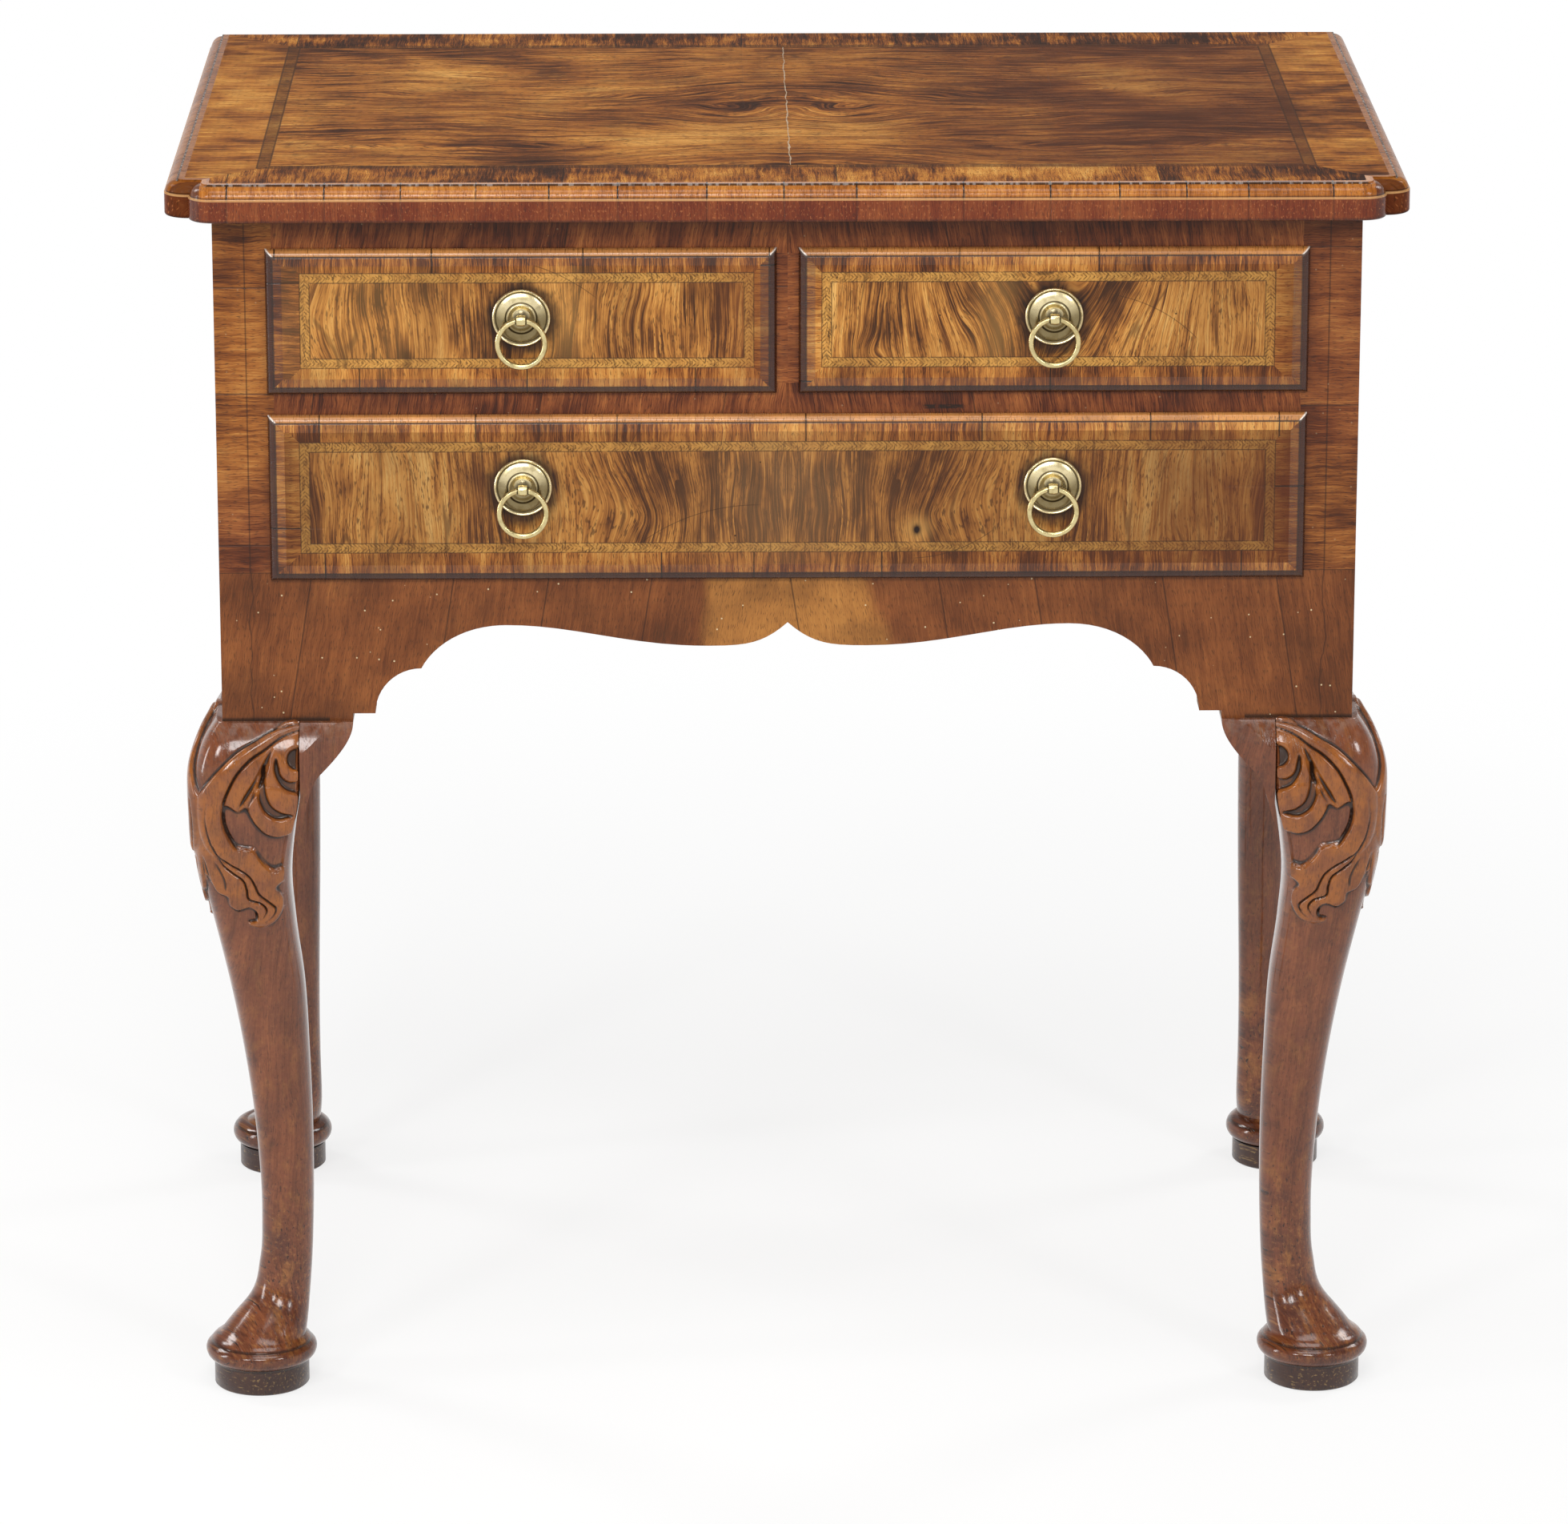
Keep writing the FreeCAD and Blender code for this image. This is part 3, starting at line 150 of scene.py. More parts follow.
class Number:
    """A number on a wire. Sums with it add Math nodes to its tree."""

    def __init__(self, tree, socket):
        self.tree, self.socket = tree, socket

    def math(self, operation, *others):
        return number(self.tree, "ShaderNodeMath", dict(enumerate((self, *others))), operation=operation)

    def __rsub__(self, other):
        return self * -1 + other

    def ease(self, start, end):
        """0 at start, 1 at end and a soft step between them, whichever of the two is higher."""
        return number(self.tree, "ShaderNodeMapRange", {"Value": self, "From Min": start, "From Max": end},
                      interpolation_type="SMOOTHSTEP")

    def line(self, place, core, rim):
        """1 on a line at a place, fading out between core and rim on both sides of it."""
        return abs(self - place).ease(rim, core)

    def pick(self, otherwise, chosen):
        """Chosen where this number is 1 and otherwise where it is 0."""
        return self * (chosen - otherwise) + otherwise

    def noise(self, along, width, length, seed, detail=2, roughness=0.5):
        """Noise around 0.5 in blotches of about width by length mm; this number runs across them."""
        place = {0: self * (1 / width), 1: along * (1 / length), 2: seed}
        wires = {"Vector": add(self.tree, "ShaderNodeCombineXYZ", place), "Scale": 1, "Detail": detail,
                 "Roughness": roughness}
        return number(self.tree, "ShaderNodeTexNoise", wires)


SIGNS = {"__add__": "ADD", "__radd__": "ADD", "__sub__": "SUBTRACT", "__mul__": "MULTIPLY",
         "__truediv__": "DIVIDE", "__abs__": "ABSOLUTE", "__gt__": "GREATER_THAN", "__lt__": "LESS_THAN",
         "__or__": "MAXIMUM"}
for sign, operation in SIGNS.items():
    setattr(Number, sign, functools.partialmethod(Number.math, operation))


def ramp(fac, stops):
    """Colours blended from stop to stop as a number rises."""
    node = add(fac.tree, "ShaderNodeValToRGB", {"Fac": fac})
    elements = node.color_ramp.elements
    while len(elements) < len(stops):
        elements.new(0.5)
    for element, (place, tint) in zip(elements, stops):
        element.position = place
        element.color = colour(tint)
    return node


def lay(ground, *coats):
    """Lays coats over a ground colour, one after another: each is where and which colour."""
    for where, tint in coats:
        tree = where.tree if isinstance(where, Number) else ground.id_data
        ground = add(tree, "ShaderNodeMix", {"Factor": where, "A": ground, "B": tint}, data_type="RGBA")
    return ground


def start_finish(name):
    """A new material, and the place on the piece in millimetres."""
    material = bpy.data.materials.new(name)
    material.use_nodes = True
    tree = material.node_tree
    place = add(tree, "ShaderNodeTexCoord").outputs["Object"]
    parts = add(tree, "ShaderNodeSeparateXYZ", {0: place})
    return (material, *(Number(tree, axis) * (1 / MM) for axis in parts.outputs))


SHADER_INPUTS = {"metallic": "Metallic", "specular": "Specular IOR Level", "coat": "Coat Weight",
                 "coat_roughness": "Coat Roughness"}


def varnish(material, tint, height, depth, roughness, **constants):
    """Wires a finish's colour, relief in millimetres and roughness, and sets its constants."""
    tree = material.node_tree
    shader = tree.nodes["Principled BSDF"]
    relief = add(tree, "ShaderNodeBump", {"Strength": 1, "Distance": depth * MM, "Height": height})
    for name, value in (("Base Color", tint), ("Normal", relief), ("Roughness", roughness)):
        wire(tree, value, shader.inputs[name])
    for name, value in constants.items():
        shader.inputs[SHADER_INPUTS[name]].default_value = value
    return material


def dress(material, *names):
    """Gives parts their finish."""
    for name in names:
        nodes[name].data.materials[0] = material


print("helpers ready")

# %% [markdown]
# ## How walnut looks
# Sawn or sliced walnut shows three things at three scales. Broad figure, a hand wide, where the
# sheet cuts light and dark growth. Growth rings a few millimetres apart. And pores, short dark
# dashes a third of a millimetre wide that run with the grain. All three are noise drawn out
# along the grain, and bent by the same slow waver so that they stay parallel. A crotch or an
# eye in the log pushes the rings aside: here each eye is a soft hill added to the coordinate
# across the grain, which bends the straight rings into arches and closed rings around it.

# %% Grain patterns
EVEN = (0.60, 0.36, 0.57, 0.26, 0.16)   # figure, growth, hair, cloud and late wood
SOFT = (0.18, 0.42, 0.66, 0.14, 0.18)
QUIET = (0.22, 0.16, 0.26, 0.18, 0.04)


def distance(x, z, place):
    """How far each spot is from a place."""
    away_x, away_z = x - place[0], z - place[1]
    return (away_x * away_x + away_z * away_z).math("SQRT")


def hill(x, z, place, reach):
    """A soft round hill, 1 at its place and nearly 0 at twice its reach."""
    away_x, away_z = (x - place[0]) * (1 / reach[0]), (z - place[1]) * (1 / reach[1])
    return ((away_x * away_x + away_z * away_z) * -1).math("EXPONENT")


def walnut_rings(across, along, seed, eyes=(), waver=10):
    """The coordinate across the grain, wavering, and bent by eyes (across, along, lift, reach, stretch)."""
    slow = across.noise(along, 60, 100, seed) - 0.5
    quick = across.noise(along, 24, 80, seed + 3.1, 1) - 0.5
    rings = across + slow * (2 * waver) + quick * 6
    for eye_across, eye_along, lift, reach, stretch in eyes:
        rings = rings + hill(across, along, (eye_across, eye_along), (reach, reach * stretch)) * lift
    return rings


def walnut_tone(across, rings, along, seed, broad=24, fine=3.2, length=170, strength=EVEN):
    """Dark to light growth, 0 to 1 around 0.5, and the dark veins and pores as 0 to 1."""
    figure = rings.noise(along, broad, length * 0.6, seed + 7.3)
    growth = rings.noise(along, fine, length * 0.75, seed + 11.7, 3, 0.65)
    hair = rings.noise(along, 1, 42, seed + 17.9, 2, 0.75)
    cloud = across.noise(along, 12, 22, seed + 19.1, 2, 0.6)
    uneven = rings.noise(along, 34, 260, seed + 41, 1) * 7
    year = (rings * (1 / 7.5) + uneven).math("FRACT")
    late = year.math("POWER", 3) * rings.noise(along, 26, 60, seed + 43, 1).ease(0.40, 0.62)
    tone = 0.51
    for layer, share in zip((figure - 0.5, growth - 0.5, hair - 0.5, cloud - 0.5, late * -1), strength):
        tone = layer * share + tone
    vein = rings.noise(along, 19, 150, seed + 29, 1).line(0.46, 0.004, 0.016)
    broken = rings.noise(along, 6, 22, seed + 33).ease(0.42, 0.60)
    dashes = rings.noise(along, 0.6, 4.2, seed + 23.3, 1).ease(0.55, 0.66)
    patches = rings.noise(along, 10, 26, seed + 37).ease(0.34, 0.60)
    return tone, dashes * (patches * 0.75 + 0.25) | vein * broken * 0.8


def worm_holes(x, y, z, spacing, share, seed):
    """Scattered round holes about a millimetre wide, 1 inside a hole."""
    spot = add(x.tree, "ShaderNodeCombineXYZ",
               {axis: place * (1 / spacing) + seed for axis, place in enumerate((x, y, z))})
    cells = add(x.tree, "ShaderNodeTexVoronoi", {"Vector": spot, "Scale": 1, "Randomness": 1})
    chance = number(x.tree, "ShaderNodeSeparateXYZ", {0: cells.outputs["Color"]})
    near = Number(x.tree, cells.outputs["Distance"]) * spacing
    return near.ease(0.65, 0.35) * (chance < share)


def old_dirt(x, y, z, seed):
    """Soft clouds of old dirt and darkened polish a hand wide, 0 to 1."""
    return (x + y * 0.8).noise(z, 42, 34, seed + 53, 3, 0.6).ease(0.44, 0.74)


print("grain patterns ready")

# %% [markdown]
# ## The oak and pine inside
# Drawer linings are riven oak, and the back boards, runners and blocks are pine. Both were left
# bare from the plane, so they are dry and matt, with grey-brown dirt rather than polish. The
# grain runs along each board: the long side of its box.

# %% Bare timbers
OAK_TONES = [(0.28, "#5E4029"), (0.45, "#8B653F"), (0.60, "#AA8156"), (0.75, "#BC966A")]
PINE_TONES = [(0.28, "#5C3C25"), (0.45, "#875F3C"), (0.60, "#A27850"), (0.75, "#B68F66")]
BARE_ROUGHNESS = 0.62


def bare_timber(name, tones, axis, seed, growth):
    """Planed board with its grain along axis 0, 1 or 2."""
    material, *place = start_finish(name)
    along = place.pop(axis)
    across, thick = place
    waver = thick.noise(along, 60, 420, seed, 1) - 0.5
    bend = across.noise(along, 110, 520, seed + 2, 1) - 0.5
    rings = across + thick * 0.8 + waver * 14 + bend * 46
    broad = rings.noise(along, growth, 420, seed + 5, 2, 0.6)
    tone = broad * 0.62 + rings.noise(along, 1.1, 50, seed + 9) * 0.38
    dirt = along.noise(across, 150, 70, seed + 13, 3).ease(0.42, 0.70)
    stain = (across + thick).noise(along, 9, 26, seed + 17, 3).ease(0.62, 0.74)
    tint = lay(ramp(tone, tones), (dirt * 0.45, "#4E3C2A"), (stain * 0.4, "#33241A"))
    return varnish(material, tint, tone, 0.25, dirt * 0.1 + BARE_ROUGHNESS)


def raw_pine(across, along, seed):
    """The pine under a veneer, where its back and edges show."""
    return lay(ramp(across.noise(along, 7, 300, seed), PINE_TONES), (0.45, "#4E3826"))


def longest_axis(name):
    spans = [high - low for low, high in zip(*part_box(name))]
    return spans.index(max(spans))


oak = [bare_timber("riven_oak_" + "xyz"[axis], OAK_TONES, axis, 4 + axis, 5) for axis in range(3)]
pine = [bare_timber("planed_pine_" + "xyz"[axis], PINE_TONES, axis, 8 + axis, 7) for axis in range(3)]
print("bare timbers:", len(oak) + len(pine))

# %% [markdown]
# ## Veneer laid in bands
# A drawer front of about 1720 is a picture frame of veneers. The middle is one or two figured
# leaves. Around it runs a featherband, two narrow strips of slanting grain that meet like the
# barbs of a feather between two fine dark lines. Outside that is the crossband, cut so that
# its grain runs towards the edge, in short lengths with a hair crack at each joint. The whole
# lay-out follows from one number, the distance outwards from the middle's rectangle.

# %% Bands of veneer
BARB_PITCH = 2.3
CROSSBAND_LENGTH = 88.0


def field_inside(node, borders=(0, 0, 0, 0)):
    """Middle and half size of what borders left, right, below and above leave of a part's front."""
    low, high = box_mm(node)
    left, right, below, above = borders
    spans = (low.x + left, high.x - right), (low.z + below, high.z - above)
    return [(a + b) / 2 for a, b in spans], [(b - a) / 2 for a, b in spans]


def band_layout(across, up, centre, half):
    """How strips lie around a rectangle: the distance outwards from it, 1 on the strips at its sides,
    a number for each strip, and the ways along and across the strip."""
    beyond_side = abs(across - centre[0]) - half[0]
    beyond_end = abs(up - centre[1]) - half[1]
    on_side = beyond_side > beyond_end
    strip = on_side * 2 + on_side.pick(up < centre[1], across < centre[0])
    return beyond_side | beyond_end, on_side, strip, on_side.pick(across, up), on_side.pick(up, across)


def cross_grain(run, depth, strip, seed, length=60, grain=1.0):
    """Tone, pores and joints of a crossband: its grain runs along depth, its joints across run."""
    spot = {"W": run * (1 / length) + strip * 37 + seed, "Scale": 1, "Randomness": 1}
    lengths = add(run.tree, "ShaderNodeTexVoronoi", spot, voronoi_dimensions="1D")
    edges = add(run.tree, "ShaderNodeTexVoronoi", spot, voronoi_dimensions="1D", feature="DISTANCE_TO_EDGE")
    block = number(run.tree, "ShaderNodeSeparateXYZ", {0: lengths.outputs["Color"]})
    near = Number(run.tree, edges.outputs["Distance"]) * length
    joint = near.ease(0.6, 0.2) * run.noise(strip, 40, 1, seed + 14, 1).ease(0.36, 0.44)
    waver = run.noise(depth, 12, 16, seed + 2) - 0.5
    shifted = run + waver * 3.4 + block * 31 + strip * 11
    stripes = shifted.noise(depth, 3, 60, seed + 5, 2, 0.65) - 0.5
    hair = shifted.noise(depth, 0.7, 20, seed + 8, 2, 0.7) - 0.5
    blotch = shifted.noise(depth, 24, 34, seed + 9) - 0.5
    tone = (stripes * 0.50 + hair * 0.60 + blotch * 0.60) * grain + (block - 0.5) * 0.12 + 0.5
    return tone, shifted.noise(depth, 0.5, 4, seed + 11, 1).ease(0.57, 0.69), joint


def featherband(run, inside, width, seed, core, rim):
    """Where a featherband lies, its barbs that lean both ways from the middle, and its edge lines."""
    slant = abs(inside - width / 2)
    wave = ((run + slant) * (2 * math.pi / BARB_PITCH)).math("SINE") * 0.5 + 0.5
    worn = run.noise(inside, 4, 2, seed).ease(0.36, 0.60)
    return (inside > 0) * (inside < width), wave.ease(0.45, 0.95) * worn, slant.line(width / 2, core, rim)


WALNUT_TONES = [(0.34, "#3C210D"), (0.42, "#6E401A"), (0.49, "#9E652B"), (0.56, "#BC803B"),
                (0.64, "#CB934B"), (0.74, "#D9A960")]
CROSSBAND_TONES = [(0.33, "#3F1E0A"), (0.42, "#723C15"), (0.51, "#9E5F26"), (0.60, "#BC7D37"),
                   (0.72, "#D29A4F")]
FRAME_TONES = [(0.32, "#34160A"), (0.43, "#5E2C13"), (0.53, "#7F4420"), (0.64, "#9A5A2C"),
               (0.76, "#B67A3E")]
GOLDEN_TONES = [(0.32, "#4F270B"), (0.42, "#824819"), (0.51, "#A86628"), (0.61, "#C0803A"),
                (0.73, "#D39A53")]
TOP_TONES = [(0.33, "#30180A"), (0.41, "#562C10"), (0.48, "#80481A"), (0.56, "#A46627"),
             (0.65, "#BC8138"), (0.75, "#CC984E")]
print("bands ready")

# %% [markdown]
# ## The drawer fronts
# Each front is one sheet of these bands. Its back and edges are the oak of the board below. Old
# polish has built up to a soft gloss. Around each brass the duster never reaches, so a dark
# halo has grown on the wood.

# %% Veneer for the drawer fronts
HANDLE_HALO = 18.5
FEATHER_WIDTH = 5.6
VENEER_DEPTH = 0.4
HANDLES = ("left_drawer", "right_drawer", "long_drawer_left", "long_drawer_right")
handle_centres = {name: field_inside(name + "_backplate")[0] for name in HANDLES}


def scratch_mark(x, z, start, end):
    """A knife-thin scratch between two places on a front, fading out at both ends."""
    run, rise = end[0] - start[0], end[1] - start[1]
    square = run * run + rise * rise
    share = (x - start[0]) * (run / square) + (z - start[1]) * (rise / square)
    share = (share | 0).math("MINIMUM", 1)
    bow = share * (1 - share)
    away = distance(x - share * run + bow * (rise * 0.35), z - share * rise - bow * (run * 0.35), start)
    return away.ease(0.42, 0.10) * bow.ease(0, 0.08)


def drawer_veneer(drawer, borders, seed, eyes, clouds, scratches, mirrored=False):
    """A banded drawer front with a crossband as wide as its borders, clouds of tint and scratches."""
    centre, half = field_inside(drawer + "_lip", borders)
    material, x, y, z = start_finish("walnut_veneer_" + drawer)
    beyond, _, strip, run, depth = band_layout(x, z, centre, half)
    across = abs(x) if mirrored else x
    tone, pores = walnut_tone(across, walnut_rings(across, z, seed, eyes), z, seed)
    edge_tone, edge_pores, joint = cross_grain(run, depth, strip, seed + 40, CROSSBAND_LENGTH)
    inside = beyond + FEATHER_WIDTH
    in_band, barbs, line = featherband(run, inside, FEATHER_WIDTH, seed + 43, 0.15, 0.50)
    line = line * (run.noise(depth, 7, 7, seed + 47).ease(0.30, 0.44) * 0.75 + 0.25)
    paler = run.noise(inside, 26, 30, seed + 45).ease(0.35, 0.65) * 0.30 + 0.50
    mottled = run.noise(inside, 5, 3, seed + 46, 3, 0.7).ease(0.46, 0.66)
    feathered = lay(ramp(edge_tone * 0.6 + tone * 0.4 + 0.02, GOLDEN_TONES), (paler, "#CE9B4C"),
                    (mottled * 0.55, "#7C4A1C"), (barbs * 0.80, "#55330F"))
    seam = x.line(0, 0.12, 0.4) * (inside < 0) if mirrored else 0
    smear = (x.noise(z, 9, 9, seed + 51) - 0.5) * 7
    halo = 0
    for name, (handle_x, handle_z) in handle_centres.items():
        if name.startswith(drawer):
            far = distance(x, z, (handle_x, handle_z - 1)) + smear
            halo = far.ease(HANDLE_HALO + 7, HANDLE_HALO - 1.5) | halo
    scratch = (x + z * 2.1).noise(z, 0.8, 60, seed + 31, 1).ease(0.74, 0.78)
    for start, end in scratches:
        scratch = scratch | scratch_mark(x, z, start, end)
    holes = worm_holes(x, y, z, 17, 0.30, seed)
    dirt = old_dirt(x, y, z, seed)
    ragged = x.noise(z, 14, 30, seed + 57, 3) * 0.9 + 0.55
    tinted = [(hill(x, z, (cloud_x, cloud_z), reach) * ragged * share, tint)
              for cloud_x, cloud_z, *reach, tint, share in clouds]
    face = lay(ramp(tone, WALNUT_TONES), (beyond.ease(-0.05, 0.05), ramp(edge_tone, CROSSBAND_TONES)),
               (in_band, feathered), ((beyond > 0).pick(pores, edge_pores) * 0.72, "#2E180A"),
               (dirt * 0.22, "#4A2A10"), (beyond.ease(-8, 12) * dirt * 0.5, "#3A1E0C"), *tinted,
               (joint * (beyond > 0) * 0.85, "#1E1008"), (line * 0.62, "#2E190B"), (seam * 0.6, "#3A2410"),
               (scratch * 0.6, "#3A2410"), (halo * 0.84, "#1C0F0A"), (holes * 0.9, "#1C130C"))
    veneered = y < box_mm(drawer + "_lip")[0].y + VENEER_DEPTH
    tint = lay(ramp(z.noise(x, 5, 300, seed), OAK_TONES), (veneered, face))
    height = tone * 0.3 - pores * 0.5 - joint * 1.2 - line * 0.8 - holes * 3 - seam * 0.8
    roughness = veneered.pick(BARE_ROUGHNESS, tone * -0.12 + halo * 0.2 + 0.42)
    dress(varnish(material, tint, height, 0.10, roughness, specular=0.25), drawer + "_front")


SHORT_BAND_NEAR = 13.2
SHORT_BAND_FAR = 19.7
DARK, REDDISH, GREYISH, BRIGHT = "#4A2710", "#6E3A1A", "#7F5E3C", "#D9A257"
drawer_veneer("left_drawer", (SHORT_BAND_FAR, SHORT_BAND_NEAR, 15.9, 13.7), 2,
              [(-288, 650, 16, 26, 1.1), (-200, 640, -9, 26, 1.5), (-95, 648, 8, 16, 1.6)],
              [(-205, 655, 12, 40, DARK, 0.3), (-93, 655, 9, 40, DARK, 0.3), (-22, 655, 18, 60, REDDISH, 0.5),
               (-130, 660, 16, 30, BRIGHT, 0.3), (-235, 655, 40, 60, BRIGHT, 0.12),
               (-288, 650, 14, 50, GREYISH, 0.3)],
              [((-176, 690), (-108, 665))])
drawer_veneer("right_drawer", (SHORT_BAND_NEAR, SHORT_BAND_FAR, 15.9, 13.7), 21,
              [(112, 700, 30, 40, 1.2), (196, 700, -30, 36, 1.4), (154, 612, 11, 24, 1.4),
               (46, 634, 7, 8, 1.4)],
              [(250, 655, 44, 60, DARK, 0.30), (120, 655, 12, 40, BRIGHT, 0.2),
               (291, 650, 12, 90, "#5C2A0A", 0.7)],
              [((182, 668), (236, 640))])
drawer_veneer("long_drawer", (18.1, 18.1, 16.9, 15.5), 33,
              [(84, 536, 20, 30, 1.3), (84, 537, 3, 8, 1.1), (196, 520, 10, 32, 2)],
              [(0, 548, 900, 900, DARK, 0.26), (0, 548, 48, 60, "#9C7850", 0.24),
               (246, 548, 78, 80, "#54290F", 0.66), (96, 540, 50, 60, DARK, 0.20),
               (-180, 560, 7, 8, DARK, 0.6), (291, 548, 13, 90, "#4A1C04", 0.85),
               (-294, 548, 8, 90, "#4A1C04", 0.6), (74.4, 529, 6.5, 7, BRIGHT, 0.6),
               (74.4, 529, 2.5, 3.4, "#1E0E07", 1.4), (-280, 548, 18, 60, DARK, 0.4),
               (-215, 548, 40, 60, DARK, 0.22)],
              [((-94, 561), (-83, 592)), ((-87, 520), (-14, 544)), ((120, 530), (70, 512))], mirrored=True)
print("drawer fronts veneered, handles at", {k: [round(c) for c in v] for k, v in handle_centres.items()})

# %% [markdown]
# ## The lips around the drawers
# Each drawer wears four mitred strips with a rounded outer edge that laps over the frame. They
# are cross-grained like the crossband beside them. The rounded edges of the top ones are painted
# pale as a highlight, with a little wear, and those at the sides and bottom painted dark as shade.

# %% Cross-grained lips
LIP_WIDTH = 9.5
LIP_QUIRK = 5.2


def lip_walnut(node, seed):
    centre, half = field_inside(node, (LIP_WIDTH,) * 4)
    material, x, y, z = start_finish("cross_grained_" + node)
    beyond, on_side, strip, run, depth = band_layout(x, z, centre, half)
    tone, pores, joint = cross_grain(run, depth, strip, seed + 40, CROSSBAND_LENGTH)
    rounded = beyond.ease(LIP_QUIRK - 0.4, LIP_QUIRK + 0.6)
    shade = beyond.line(LIP_QUIRK, 0.25, 0.8)
    # The outer rim of each lip, painted dark as the shadow line where it laps over the frame.
    rim = beyond.ease(LIP_WIDTH - 1.1, LIP_WIDTH - 0.2)
    # Nearly white corners of the top edges, where the strips meet: a painted highlight.
    mitre_highlight = (abs(x - centre[0]) - half[0] - (abs(z - centre[1]) - half[1])).line(0, 0.5, 1.6)
    level = 1 - on_side
    upper = z > centre[1]
    bottom, top = (z < centre[1]) * level, upper * level
    # Patches where the painted highlight on the rounded top edges is duller.
    uneven_sheen = x.noise(z, 34, 60, seed + 61).ease(0.40, 0.60)
    # Painted light: the rounded top edges are lighter as a painted highlight, with a little wear, and nearly
    # white at their corners; the side strips, the right-hand one most, the rounded side and bottom edges, the
    # outer rim and the line at the quirk are painted darker as shade.
    tint = lay(ramp(tone, CROSSBAND_TONES), (old_dirt(x, y, z, seed) * 0.5, "#3A1E0C"),
               (on_side * 0.35, "#4E2610"), (bottom * 0.35, "#5A2E14"),
               (on_side * (x > centre[0]) * 0.5, "#4A1C04"), (rounded * top * 0.75, "#D29050"),
               (rounded * top * uneven_sheen * 0.36, "#8A5A3A"), (mitre_highlight * rounded * upper * 0.9, "#EFE6DC"),
               (rounded * bottom * 0.9, "#2E140A"), (rounded * on_side * 0.92, "#34150A"),
               (pores * 0.6, "#2E180A"), (shade * (level * 0.1 + 0.75), "#221108"),
               (joint * 0.9, "#1A0E07"), (rim * (bottom * 0.6 + 0.3), "#1C0E07"))
    height = tone * 0.4 - pores * 0.5 - joint * 1.6 - shade * 1.6
    varnish(material, tint, height, 0.12, tone * -0.1 + 0.32, specular=0.38, coat=0.2, coat_roughness=0.15)
    dress(material, node)


for node, seed in (("left_drawer_lip", 2), ("right_drawer_lip", 21), ("long_drawer_lip", 33)):
    lip_walnut(node, seed)
print("lips done")

# %% [markdown]
# ## The case
# The case is pine, veneered where it shows. On the front the stiles and the divider have their
# grain running from side to side, and the rails up and down, always across the length of the
# piece. The apron is one broad cross-grained field that also covers the foot of the stiles. The
# sides are two leaves of figured walnut with upright grain, opened like a book from one seam.

# %% Veneer for the case
DIVIDER_HALF_WIDTH = 12.0
DIVIDER_LOW_Z, DIVIDER_HIGH_Z = APRON_TOP_Z + 112, TOP_Z - 44
GOLD_LOW_Z, GOLD_HIGH_Z = 520.0, 590.0
CHIP_X, CHIP_Z = 89.5, 600.8
LEG_SEAT_X = 266.0


